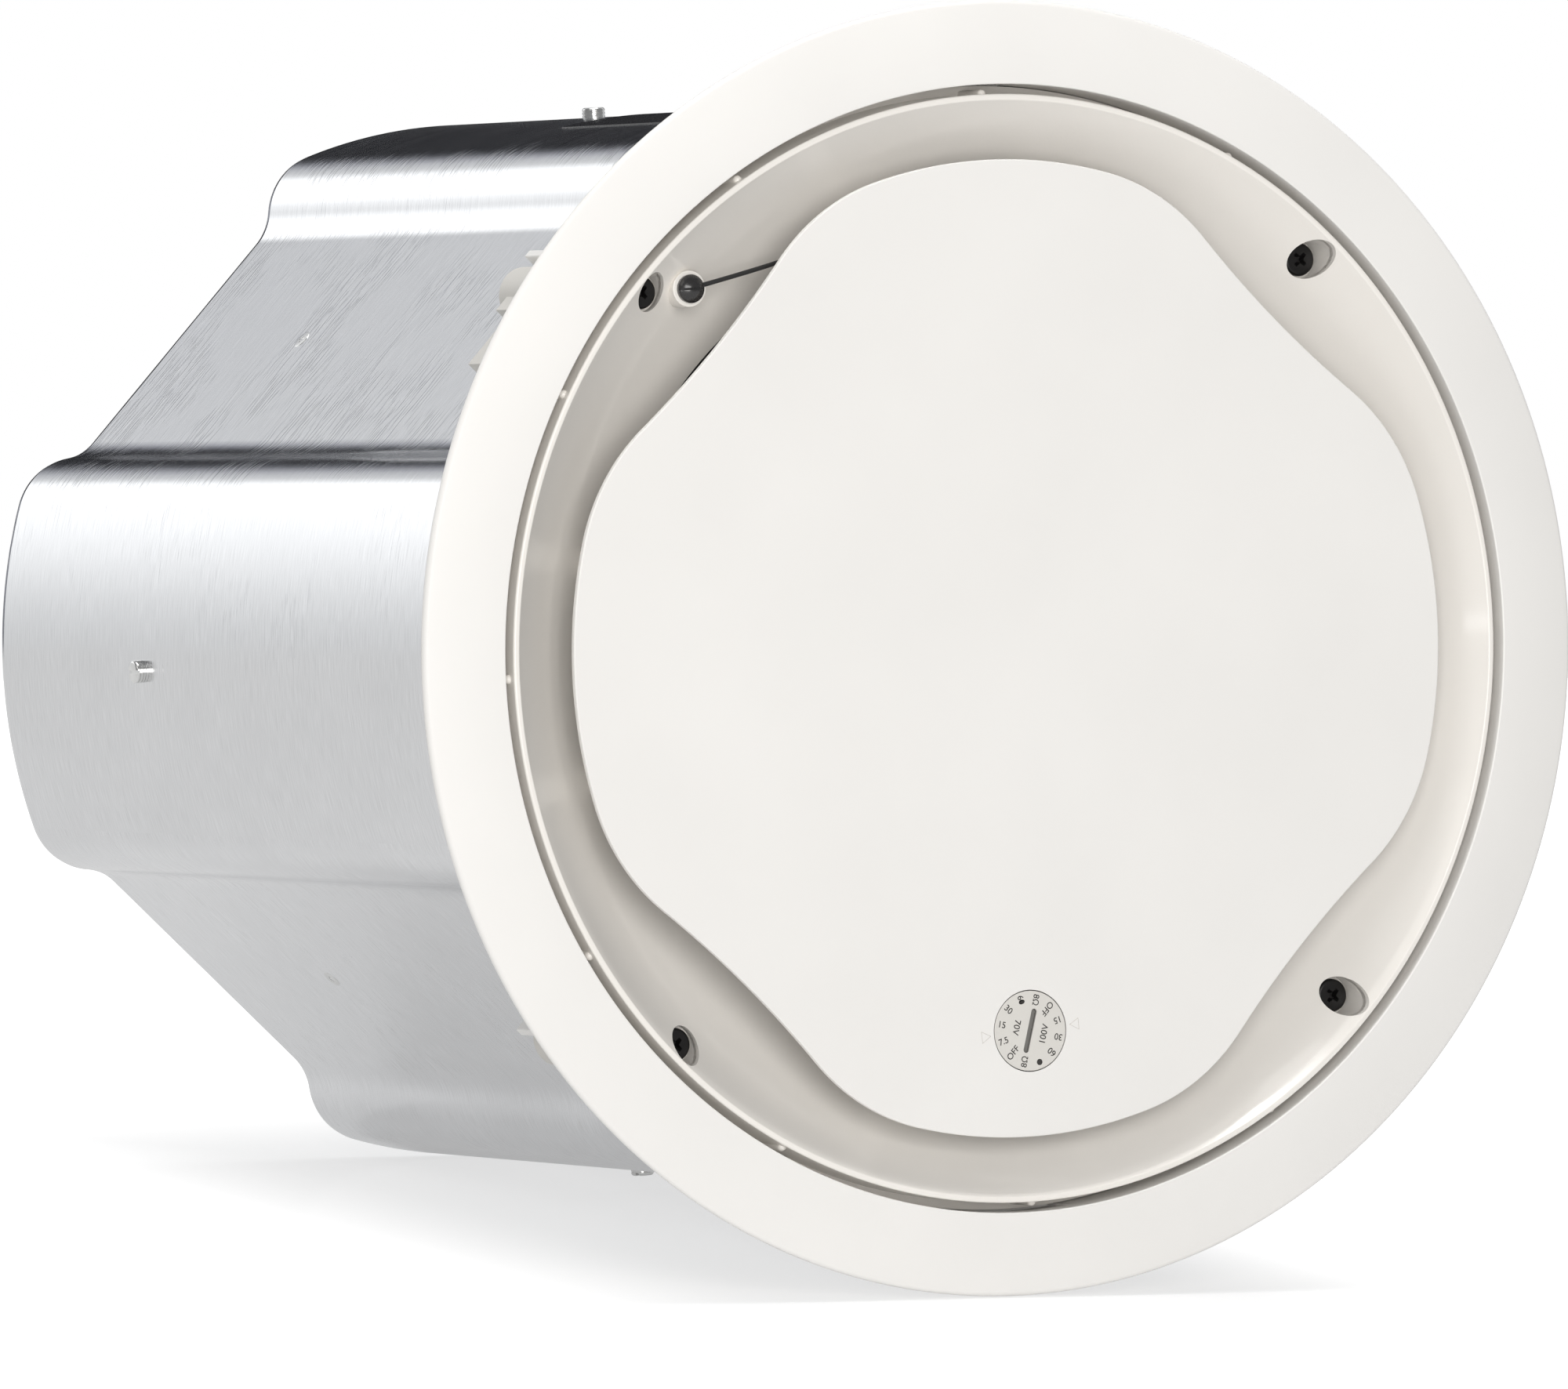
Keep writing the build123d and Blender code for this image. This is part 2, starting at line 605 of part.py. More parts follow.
def tap_switch():
    """Rotary switch on the back of the plate, turned by the dial's spindle."""
    body = rod(SWITCH_FLANGE_RADIUS, PLATE_BACK, PLATE_BACK + SWITCH_FLANGE)
    body += rod(SWITCH_RADIUS, PLATE_BACK, PLATE_BACK + SWITCH_DEPTH)
    bore_end = PLATE_FRONT + DIAL_THICKNESS + SPINDLE_LENGTH + SLIP
    return Pos(*DIAL_PLACE, 0) * (body - rod(SPINDLE_RADIUS + RUNNING, PLATE_BACK, bore_end))


def lanyard_button():
    """Push rivet: a collar and a slotted dome on the dish's ring boss."""
    collar_front = BUTTON_SEAT - BUTTON_COLLAR
    radius = (BUTTON_RADIUS**2 + BUTTON_DOME**2) / (2 * BUTTON_DOME)
    ball = Pos(0, 0, collar_front - BUTTON_DOME + radius) * Sphere(radius)
    dome = ball & rod(BUTTON_RADIUS, collar_front - BUTTON_DOME, collar_front)
    slot = box(
        (-BUTTON_RADIUS, BUTTON_RADIUS),
        (-BUTTON_SLOT / 2, BUTTON_SLOT / 2),
        (collar_front - BUTTON_DOME, collar_front - BUTTON_DOME / 2),
    )
    stem = rod(STEM_RADIUS, BUTTON_SEAT, BUTTON_SEAT + STEM_LENGTH)
    return Pos(*BUTTON_PLACE, 0) * (dome - slot + rod(BUTTON_RADIUS, collar_front, BUTTON_SEAT) + stem)


def lanyard():
    """Taut cord from the button's collar to the plate's anchor peg."""
    height = BUTTON_SEAT - BUTTON_COLLAR / 2
    start = Vector(*BUTTON_PLACE, height)
    end = Vector(*ANCHOR_PLACE, height)
    way = (end - start).normalized()
    start += way * (BUTTON_RADIUS - LANYARD_SINK)
    end -= way * (ANCHOR_RADIUS - LANYARD_SINK)
    section = Plane(origin=start, z_dir=way) * Circle(LANYARD_RADIUS)
    return extrude(section, (end - start).length)


def clamp_screw():
    """Flat-headed clamp screw, in the corner's own frame."""
    head = rod(SCREW_HEAD_RADIUS, SCREW_SEAT - SCREW_HEAD_HEIGHT, SCREW_SEAT)
    return head + rod(SCREW_RADIUS, SCREW_SEAT, SCREW_TIP)


def clamp_bush():
    """Threaded brass bush that climbs the screw and carries the dog."""
    ledge = DOG_BOTTOM + BUSH_LENGTH
    body = rod(BUSH_RADIUS, DOG_BOTTOM, ledge) + rod(BUSH_FLANGE_RADIUS, ledge, ledge + BUSH_FLANGE)
    return body - rod(SCREW_RADIUS + RUNNING, DOG_BOTTOM, ledge + BUSH_FLANGE)


def clamp_dog():
    """Swing-out dog: an open hub and a stepped arm, folded along the can's flat."""
    ledge = DOG_BOTTOM + BUSH_LENGTH - RUNNING
    side = Plane(origin=(DOG_ARM_OUTER, 0, DOG_BOTTOM), x_dir=(0, -1, 0), z_dir=(-1, 0, 0))
    profile = Polyline(
        (0, 0),
        (DOG_ARM_LENGTH, 0),
        (DOG_ARM_LENGTH, DOG_ARM_TIP_HEIGHT),
        (DOG_ARM_ROOT, DOG_ARM_TIP_HEIGHT),
        (DOG_ARM_ROOT, DOG_ARM_ROOT_HEIGHT),
        (0, DOG_ARM_ROOT_HEIGHT),
        close=True,
    )
    arm = extrude(side * make_face(profile), DOG_ARM_WIDTH)
    dog = rod(DOG_HUB_RADIUS, DOG_BOTTOM, DOG_TOP) + arm
    dog -= rod(BUSH_RADIUS + SLIP, DOG_BOTTOM, ledge)
    return dog - rod(BUSH_FLANGE_RADIUS + SLIP, ledge, DOG_TOP)


def back_can():
    """Lobed steel can, open at both ends, with a turned-out front flange."""
    can = can_solid(0, FLANGE_BACK, CAN_END)
    can += rod(CAN_FLANGE_RADIUS, FLANGE_BACK, FLANGE_BACK + CAN_WALL)
    can -= can_solid(CAN_WALL, FLANGE_BACK, CAN_END)
    reach = DOG_HUB_RADIUS + HUB_PLAY + TOWER_WALL + TOWER_CUT_GAP
    notch = box(
        (-reach, CAN_FLANGE_RADIUS - CLAMP_RADIUS + TOWER_CUT_GAP),
        (-TOWER_SHELTER - TOWER_CUT_GAP, reach),
        (FLANGE_BACK, FLANGE_BACK + CAN_WALL),
    )
    can -= cluster(at_corners(notch))
    hole = M4_RADIUS + SCREW_PLAY
    can -= cluster(rod(hole, FLANGE_BACK, FLANGE_BACK + CAN_WALL, at) for at in FLANGE_PLACES)
    can -= cluster(side_holes(hole, CAN_LOBE, LOBE_SCREW_HEIGHT, 0))
    return can - cluster(side_holes(FLAT_HEAD_RADIUS + RUNNING, CAN_WAIST, FLAT_SCREW_HEIGHT, 45))


def side_rod(radius, inner, outer, height, angle):
    """Cylinder that lies along a radius of the can at a height."""
    middle = (inner + outer) / 2
    return Rot(0, 0, angle) * Pos(middle, 0, height) * Rot(0, 90, 0) * Cylinder(radius, outer - inner)


def side_holes(radius, face, height, offset):
    """Four holes through the can's wall and the tray's tab behind it."""
    inner = face - TRAY_SCREW_LENGTH
    return [side_rod(radius, inner, face + CAN_WALL, height, offset + 90 * n) for n in range(4)]


def lobe_screws():
    """Four raised screws on the lobes."""
    screws = []
    for angle in range(0, 360, 90):
        head = side_rod(LOBE_HEAD_RADIUS, CAN_LOBE, CAN_LOBE + LOBE_HEAD_HEIGHT, LOBE_SCREW_HEIGHT, angle)
        shank = side_rod(M4_RADIUS, CAN_LOBE - TRAY_SCREW_LENGTH, CAN_LOBE, LOBE_SCREW_HEIGHT, angle)
        screws.append(head + shank)
    return screws


def flat_screws():
    """Four screws on the flats, with heads sunk through the can onto the tray's tabs."""
    seat = CAN_WAIST - CAN_WALL - SHEET_PLAY
    screws = []
    for angle in range(45, 360, 90):
        head = side_rod(FLAT_HEAD_RADIUS, seat, CAN_WAIST + FLAT_HEAD_PROUD, FLAT_SCREW_HEIGHT, angle)
        shank = side_rod(M4_RADIUS, CAN_WAIST - TRAY_SCREW_LENGTH, seat, FLAT_SCREW_HEIGHT, angle)
        screws.append(head + shank)
    return screws


def transformer_tray():
    """Folded steel tray with a tab behind each side screw."""
    inset = CAN_WALL + SHEET_PLAY
    tray = can_solid(inset, TRAY_FRONT, TRAY_BACK)
    half = TRAY_TAB_WIDTH / 2
    for face, height, offset in ((CAN_LOBE, LOBE_SCREW_HEIGHT, 0), (CAN_WAIST, FLAT_SCREW_HEIGHT, 45)):
        outer = sqrt((face - inset) ** 2 - half**2) if offset == 0 else face - inset
        end = height + TRAY_TAB_MARGIN
        tab = box((outer - TRAY_THICKNESS, outer), (-half, half), (TRAY_FRONT, end))
        tray += cluster(Rot(0, 0, offset + 90 * n) * tab for n in range(4))
        tray -= cluster(side_holes(M4_RADIUS + PILOT_PLAY, face, height, offset))
    vent_circle = CAN_LOBE - TRAY_HOLE_INSET
    tray -= cluster(rod(TRAY_HOLE_RADIUS, TRAY_FRONT, TRAY_BACK, polar(vent_circle, 90 * n)) for n in range(4))
    pilot = M4_RADIUS + PILOT_PLAY
    return tray - cluster(rod(pilot, TRAY_FRONT, TRAY_BACK, at) for at in BRACKET_PLACES)


def transformer_core():
    """Laminated core with a window each side of its middle leg."""
    core = box(
        (-CORE_LENGTH / 2, CORE_LENGTH / 2),
        (-CORE_WIDTH / 2, CORE_WIDTH / 2),
        (CORE_FRONT, CORE_FRONT + CORE_STACK),
    )
    for side in (-1, 1):
        middle = side * (CORE_LEG + WINDOW_WIDTH) / 2
        core -= box(
            (middle - WINDOW_WIDTH / 2, middle + WINDOW_WIDTH / 2),
            (-WINDOW_LENGTH / 2, WINDOW_LENGTH / 2),
            (CORE_FRONT, CORE_FRONT + CORE_STACK),
        )
    return core


def transformer_coil():
    """Wound coil round the core's middle leg."""
    wide = CORE_LEG / 2 + WINDOW_WIDTH - COIL_CLEARANCE
    long = WINDOW_LENGTH / 2 - COIL_CLEARANCE
    leg = CORE_LEG / 2 + COIL_CLEARANCE
    coil = box(
        (-wide, wide),
        (-long, long),
        (CORE_FRONT - COIL_OVERHANG, CORE_FRONT + CORE_STACK + COIL_OVERHANG),
    )
    coil = fillet(coil.edges().filter_by(Axis.Y), COIL_CORNER)
    return coil - box(
        (-leg, leg),
        (-long, long),
        (CORE_FRONT - COIL_CLEARANCE, CORE_FRONT + CORE_STACK + COIL_CLEARANCE),
    )


def transformer_brackets():
    """Two angle brackets that grip the core's ends and stand on the tray."""
    inner = CORE_LENGTH / 2
    outer = inner + BRACKET_THICKNESS
    half = BRACKET_WIDTH / 2
    bracket = box((inner, outer), (-half, half), (TRAY_BACK, CORE_FRONT + BRACKET_GRIP))
    bracket += box((inner, outer + BRACKET_FOOT), (-half, half), (TRAY_BACK, TRAY_BACK + BRACKET_THICKNESS))
    hole = M4_RADIUS + SCREW_PLAY
    brackets = bracket + Rot(0, 0, 180) * bracket
    brackets -= cluster(rod(hole, TRAY_BACK, TRAY_BACK + BRACKET_THICKNESS, at) for at in BRACKET_PLACES)
    return brackets.solids()


def driver_gasket():
    """Foam ring between the dish and the woofer's frame."""
    ring = tube(FRAME_RADIUS, FRAME_LAND_RADIUS, DRIVER_SEAT, FRAME_FRONT)
    return ring - cluster(rod(M4_RADIUS + SCREW_PLAY, DRIVER_SEAT, FRAME_FRONT, at) for at in DRIVER_PLACES)


def woofer_frame():
    """Windowed frame with the surround's land, the spider's shelf and the motor's base."""
    flange_back = FRAME_FRONT + FRAME_FLANGE
    neck = LAND + FRAME_NECK_DEPTH
    shelf = LAND + SPIDER_SHELF_DEPTH
    outer = FRAME_NECK_RADIUS + FRAME_WALL
    frame = turned(
        Polyline(
            (FRAME_RADIUS, FRAME_FRONT),
            (FRAME_RADIUS, flange_back),
            (FRAME_SHOULDER_RADIUS + FRAME_WALL, flange_back),
            (outer, neck + FRAME_WALL / 2),
            (outer, MOTOR_FRONT),
            (FRAME_BASE_HOLE, MOTOR_FRONT),
            (FRAME_BASE_HOLE, MOTOR_FRONT - FRAME_WALL),
            (FRAME_NECK_RADIUS, MOTOR_FRONT - FRAME_WALL),
            (FRAME_NECK_RADIUS, shelf + SPIDER_SHELF),
            (SPIDER_SHELF_RADIUS, shelf + SPIDER_SHELF),
            (SPIDER_SHELF_RADIUS, shelf),
            (FRAME_NECK_RADIUS, shelf),
            (FRAME_NECK_RADIUS, neck),
            (FRAME_SHOULDER_RADIUS, LAND),
            (FRAME_LAND_RADIUS, LAND),
            (FRAME_LAND_RADIUS, FRAME_FRONT),
            close=True,
        )
    )
    window = box(
        (0, FRAME_RADIUS),
        (-FRAME_WINDOW_WIDTH / 2, FRAME_WINDOW_WIDTH / 2),
        (flange_back + FRAME_WINDOW_MARGIN, neck - FRAME_WINDOW_MARGIN / 2),
    )
    frame -= cluster(Rot(0, 0, 360 / FRAME_WINDOWS * n) * window for n in range(FRAME_WINDOWS))
    return frame - cluster(rod(M4_RADIUS + SCREW_PLAY, FRAME_FRONT, flange_back, at) for at in DRIVER_PLACES)


def surround():
    """Half-roll surround from the frame's land to the cone's lip."""
    front = LAND - SURROUND_WALL
    middle = (CONE_LIP_RADIUS + FRAME_SHOULDER_RADIUS) / 2
    roll = (FRAME_SHOULDER_RADIUS - CONE_LIP_RADIUS) / 2
    centre = Pos(middle, LAND - SURROUND_WALL / 2)
    section = centre * (Circle(roll) - Circle(roll - SURROUND_WALL))
    section &= Pos(middle, LAND - roll) * Rectangle(2 * roll, 2 * roll)
    ring = revolve(Plane.XZ * section, Axis.Z)
    ring += tube(FRAME_LAND_RADIUS - SLIP, middle + roll - SURROUND_WALL, front, LAND)
    return ring + tube(middle - roll + SURROUND_WALL, CONE_LIP_RADIUS - CONE_LIP, front, LAND)


def cone():
    """Paper cone with a flat lip under the surround and a neck on the voice coil."""
    inner = CONE_LIP_RADIUS - CONE_LIP
    neck = COIL_BORE + COIL_WALL
    neck_front = LAND + COIL_FRONT_DEPTH
    slope = (neck_front - LAND) / (inner - neck)
    back = CONE_WALL * sqrt(1 + slope**2)
    return turned(
        Polyline(
            (CONE_LIP_RADIUS, LAND),
            (inner, LAND),
            (neck, neck_front),
            (neck, neck_front + CONE_NECK),
            (neck + CONE_WALL, neck_front + CONE_NECK),
            (neck + CONE_WALL, neck_front + back - CONE_WALL * slope),
            (inner + (back - CONE_WALL) / slope, LAND + CONE_WALL),
            (CONE_LIP_RADIUS, LAND + CONE_WALL),
            close=True,
        )
    )


def dust_cap():
    """Domed cap glued inside the cone."""
    inner = CONE_LIP_RADIUS - CONE_LIP
    slope = COIL_FRONT_DEPTH / (inner - COIL_BORE - COIL_WALL)
    edge = LAND + (inner - DUST_CAP_RADIUS) * slope - DUST_CAP_GLUE
    radius = (DUST_CAP_RADIUS**2 + DUST_CAP_RISE**2) / (2 * DUST_CAP_RISE)
    shell = Sphere(radius) - Sphere(radius - DUST_CAP_WALL)
    shell = Pos(0, 0, edge - DUST_CAP_RISE + radius) * shell
    return shell & rod(DUST_CAP_RADIUS, edge - DUST_CAP_RISE, edge)


def voice_coil():
    """Former and winding that run in the motor's gap."""
    front = LAND + COIL_FRONT_DEPTH
    return tube(COIL_BORE + COIL_WALL, COIL_BORE, front, front + COIL_LENGTH)


def spider():
    """Corrugated disc from the voice coil to the frame's shelf."""
    back = LAND + SPIDER_SHELF_DEPTH
    inner = COIL_BORE + COIL_WALL + SLIP
    outer = FRAME_NECK_RADIUS - SLIP
    step = (SPIDER_SHELF_RADIUS - inner) / (2 * SPIDER_WAVES)
    waves = [
        (inner + step * n, back - SPIDER_WAVE_HEIGHT * (n % 2)) for n in range(2 * SPIDER_WAVES + 1)
    ]
    behind = waves + [(outer, back)]
    front = [(radius, height - SPIDER_WALL) for radius, height in reversed(behind)]
    return turned(Polyline(*behind, *front, close=True))


def top_plate():
    """Front steel plate of the motor."""
    bore = COIL_BORE + COIL_WALL + GAP_OUTER
    return tube(TOP_PLATE_RADIUS, bore, MOTOR_FRONT, MAGNET_FRONT)


def magnet_ring():
    """Ring magnet."""
    return tube(MAGNET_RADIUS, MAGNET_BORE, MAGNET_FRONT, MAGNET_FRONT + MAGNET_THICKNESS)


def back_plate():
    """Rear steel plate with its vented pole."""
    front = MAGNET_FRONT + MAGNET_THICKNESS
    back = front + BACK_PLATE_THICKNESS
    plate = rod(BACK_PLATE_RADIUS, front, back) + rod(COIL_BORE - GAP_INNER, MOTOR_FRONT, front)
    return plate - rod(POLE_VENT, MOTOR_FRONT, back)


def rounded_block(length, width, bottom, top, corner_radius):
    """Upright block with rounded corners."""
    return Pos(0, 0, bottom) * extrude(RectangleRounded(length, width, corner_radius), top - bottom)


def rear_cover():
    """Pressed lid that closes the can, with a rim inside its wall."""
    inset = CAN_WALL + SLIP
    front = COVER_BACK - COVER_THICKNESS
    cover = can_solid(inset, COVER_BACK - COVER_RIM, COVER_BACK)
    cover -= can_solid(inset + COVER_THICKNESS, COVER_BACK - COVER_RIM, front)
    play = 2 * SLIP
    cover -= rounded_block(CUP_LENGTH + play, CUP_WIDTH + play, front, COVER_BACK, CUP_CORNER)
    pilot = M4_RADIUS + PILOT_PLAY
    cover -= cluster(rod(pilot, front, COVER_BACK, at) for at in LID_PLACES)
    return cover - cluster(rod(SAFETY_RIVET_RADIUS + PILOT_PLAY, front, COVER_BACK, at) for at in RIVET_PLACES)


def terminal_cup():
    """Wiring compartment let into the rear cover."""
    bottom = LID_FRONT - CUP_DEPTH
    wall = 2 * COVER_THICKNESS
    wide = 2 * CUP_FLANGE
    cup = rounded_block(CUP_LENGTH, CUP_WIDTH, bottom, LID_FRONT, CUP_CORNER)
    cup += rounded_block(CUP_LENGTH + wide, CUP_WIDTH + wide, COVER_BACK, LID_FRONT, CUP_CORNER)
    hollow = (CUP_LENGTH - wall, CUP_WIDTH - wall, bottom + COVER_THICKNESS, LID_FRONT)
    cup -= rounded_block(*hollow, CUP_CORNER - COVER_THICKNESS)
    return cup - cluster(rod(M4_RADIUS + SCREW_PLAY, COVER_BACK, LID_FRONT, at) for at in LID_PLACES)


def terminal_lid():
    """Flat lid of the wiring compartment, with the cable gland's hole."""
    back = LID_FRONT + LID_THICKNESS
    wide = 2 * CUP_FLANGE
    lid = rounded_block(CUP_LENGTH + wide, CUP_WIDTH + wide, LID_FRONT, back, CUP_CORNER)
    lid -= cluster(rod(M4_RADIUS + SCREW_PLAY, LID_FRONT, back, at) for at in LID_PLACES)
    return lid - rod(GLAND_BORE, LID_FRONT, back, (GLAND_X, 0))


def terminal_block():
    """Screw terminal strip on the floor of the wiring compartment."""
    floor = LID_FRONT - CUP_DEPTH + COVER_THICKNESS
    top = floor + TERMINAL_HEIGHT
    block = rounded_block(TERMINAL_LENGTH, TERMINAL_WIDTH, floor, top, TERMINAL_CORNER)
    pitch = TERMINAL_LENGTH / TERMINAL_WAYS
    for way in range(TERMINAL_WAYS):
        x = pitch * (way - (TERMINAL_WAYS - 1) / 2)
        block -= rod(TERMINAL_FUNNEL, top - TERMINAL_HEIGHT / 2, top, (x, 0))
    return block


def cable_gland():
    """Round cable gland on the lid."""
    bottom = LID_FRONT + LID_THICKNESS
    gland = tube(GLAND_RADIUS, GLAND_BORE, bottom, bottom + GLAND_LENGTH)
    gland += tube(GLAND_FLANGE_RADIUS, GLAND_BORE, bottom, bottom + GLAND_FLANGE)
    return Pos(GLAND_X, 0, 0) * gland


def safety_bracket():
    """Angle bracket with the hole for a safety wire."""
    half = SAFETY_WIDTH / 2
    outer = SAFETY_Y + SAFETY_THICKNESS
    top = COVER_BACK + SAFETY_HEIGHT
    bracket = box((-half, half), (outer - SAFETY_FOOT, outer), (COVER_BACK, COVER_BACK + SAFETY_THICKNESS))
    bracket += box((-half, half), (SAFETY_Y, outer), (COVER_BACK, top))
    eye = Pos(0, SAFETY_Y, top - 2 * SAFETY_HOLE) * Rot(90, 0, 0) * Cylinder(SAFETY_HOLE, SAFETY_FOOT)
    bracket -= eye
    rivet_hole = SAFETY_RIVET_RADIUS + PILOT_PLAY
    return bracket - cluster(
        rod(rivet_hole, COVER_BACK, COVER_BACK + SAFETY_THICKNESS, at) for at in RIVET_PLACES
    )


def safety_rivets():
    """Rivets that hold the safety bracket to the rear cover."""
    seat = COVER_BACK + SAFETY_THICKNESS
    front = COVER_BACK - COVER_THICKNESS
    rivets = []
    for at in RIVET_PLACES:
        head = rod(SAFETY_RIVET_HEAD, seat, seat + SAFETY_RIVET_RISE, at)
        tail = rod(SAFETY_RIVET_HEAD, front - SAFETY_RIVET_RISE, front, at)
        rivets.append(head + tail + rod(SAFETY_RIVET_RADIUS, front, seat, at))
    return rivets


def save(node, solids):
    """Write one node's solid, or its group of separate solids."""
    group = solids if isinstance(solids, list) else solids.solids()
    export_step(Compound(group) if len(group) > 1 else group[0], f"parts/{node}.step")


NODES = {
    "bezel_ring": bezel_ring,
    "dish": dish,
    "deflector_plate": deflector_plate,
    "tap_dial": tap_dial,
    "tap_switch": tap_switch,
    "lanyard_button": lanyard_button,
    "lanyard": lanyard,
    "back_can": back_can,
    "lobe_screws": lobe_screws,
    "flat_screws": flat_screws,
    "transformer_tray": transformer_tray,
    "transformer_core": transformer_core,
    "transformer_coil": transformer_coil,
    "transformer_brackets": transformer_brackets,
    "driver_gasket": driver_gasket,
    "woofer_frame": woofer_frame,
    "surround": surround,
    "cone": cone,
    "dust_cap": dust_cap,
    "voice_coil": voice_coil,
    "spider": spider,
    "top_plate": top_plate,
    "magnet_ring": magnet_ring,
    "back_plate": back_plate,
    "rear_cover": rear_cover,
    "terminal_cup": terminal_cup,
    "terminal_lid": terminal_lid,
    "terminal_block": terminal_block,
    "cable_gland": cable_gland,
    "safety_bracket": safety_bracket,
    "safety_rivets": safety_rivets,
}
for node, make in NODES.items():
    save(node, make())
for name, make in (("clamp_screw", clamp_screw), ("clamp_bush", clamp_bush), ("clamp_dog", clamp_dog)):
    for number, solid in enumerate(at_corners(make()), start=1):
        save(f"{name}_{number}", solid)
save("flange_screws", [pan_screw(CAN_SEAT, FLANGE_FRONT - FLANGE_SCREW_BITE, at) for at in FLANGE_PLACES])
save("driver_screws", [pan_screw(DRIVER_BACK, DRIVER_SEAT - DRIVER_SCREW_BITE, at) for at in DRIVER_PLACES])
save("bracket_screws", [pan_screw(BRACKET_SEAT, TRAY_BACK - 2 * TRAY_THICKNESS, at) for at in BRACKET_PLACES])
save("lid_screws", [pan_screw(LID_BACK, COVER_BACK - 2 * COVER_THICKNESS, at) for at in LID_PLACES])
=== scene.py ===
"""In-ceiling loudspeaker: fine shapes, finishes and staging around the packed CAD frame.

Sizes are in millimetres in the CAD frame, and meshes are made in metres. The front faces -Z, so a reader in front
of the loudspeaker has +Y up and -X to the right.
"""

import json
import logging
import math
from dataclasses import dataclass
from enum import Enum
from typing import Iterable, Sequence

import bmesh
import bpy
from mathutils import Matrix, Vector


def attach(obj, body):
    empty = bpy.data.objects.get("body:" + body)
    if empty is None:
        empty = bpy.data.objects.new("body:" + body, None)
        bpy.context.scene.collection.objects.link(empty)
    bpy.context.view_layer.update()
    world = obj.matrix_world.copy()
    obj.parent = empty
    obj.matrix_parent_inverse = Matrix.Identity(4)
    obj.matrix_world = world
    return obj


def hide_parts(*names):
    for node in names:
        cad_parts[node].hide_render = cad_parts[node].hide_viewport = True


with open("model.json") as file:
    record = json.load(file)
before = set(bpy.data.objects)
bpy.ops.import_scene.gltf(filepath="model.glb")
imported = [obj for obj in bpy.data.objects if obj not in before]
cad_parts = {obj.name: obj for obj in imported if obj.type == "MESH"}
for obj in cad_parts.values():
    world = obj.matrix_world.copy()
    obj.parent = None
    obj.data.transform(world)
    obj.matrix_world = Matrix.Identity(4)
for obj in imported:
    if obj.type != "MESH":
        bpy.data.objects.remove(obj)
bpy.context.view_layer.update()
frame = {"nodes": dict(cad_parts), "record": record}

LOG = logging.getLogger("loudspeaker")
MM = 0.001
SEGMENTS = 256
SMOOTH_ANGLE = math.radians(32)
SHADING_WEIGHT = 85
QUARTERS = 4

Point = tuple[float, float]
Rgb = tuple[float, float, float]


# Outlines and meshes


def polar(radius: float, angle: float) -> Vector:
    """Point of the XY plane from a radius and an angle.

    Args:
        radius: Distance from the axis.
        angle: Angle from +X in degrees.

    Returns:
        The point as a 2-D vector.
    """
    turn = math.radians(angle)
    return Vector((radius * math.cos(turn), radius * math.sin(turn)))


def arc(centre: Point, radius: float, start: float, end: float, steps: int) -> list[Point]:
    """Points along an arc, both ends included.

    Args:
        centre: Centre of the arc.
        radius: Its radius.
        start: First angle in degrees.
        end: Last angle in degrees.
        steps: Number of divisions.

    Returns:
        The points in order.
    """
    middle = Vector(centre)
    turns = (start + (end - start) * step / steps for step in range(steps + 1))
    return [tuple(middle + polar(radius, turn)) for turn in turns]


def arc_between(centre: Vector, start: Vector, end: Vector, steps: int) -> list[Point]:
    """Points along the short arc about a centre from one point to another.

    Args:
        centre: Centre of the arc.
        start: Its first point.
        end: Its last point.
        steps: Number of divisions.

    Returns:
        The points in order.
    """
    first, last = start - centre, end - centre
    begin = math.degrees(math.atan2(first.y, first.x))
    sweep = math.degrees(math.atan2(first.cross(last), first.dot(last)))
    return arc(tuple(centre), first.length, begin, begin + sweep, steps)


def rounded(corners: Sequence[tuple[float, float, float]], steps: int = 4) -> list[Point]:
    """Closed outline with rounded corners.

    Args:
        corners: X, Y and fillet radius of each corner in order.
        steps: Divisions of each fillet.

    Returns:
        The outline's points.
    """
    points: list[Point] = []
    for index, (x, y, radius) in enumerate(corners):
        here = Vector((x, y))
        if radius <= 0:
            points.append((x, y))
            continue
        before = (Vector(corners[index - 1][:2]) - here).normalized()
        after = (Vector(corners[(index + 1) % len(corners)][:2]) - here).normalized()
        half = before.angle(after) / 2
        centre = here + (before + after).normalized() * (radius / math.sin(half))
        reach = radius / math.tan(half)
        points += arc_between(centre, here + before * reach, here + after * reach, steps)
    return points


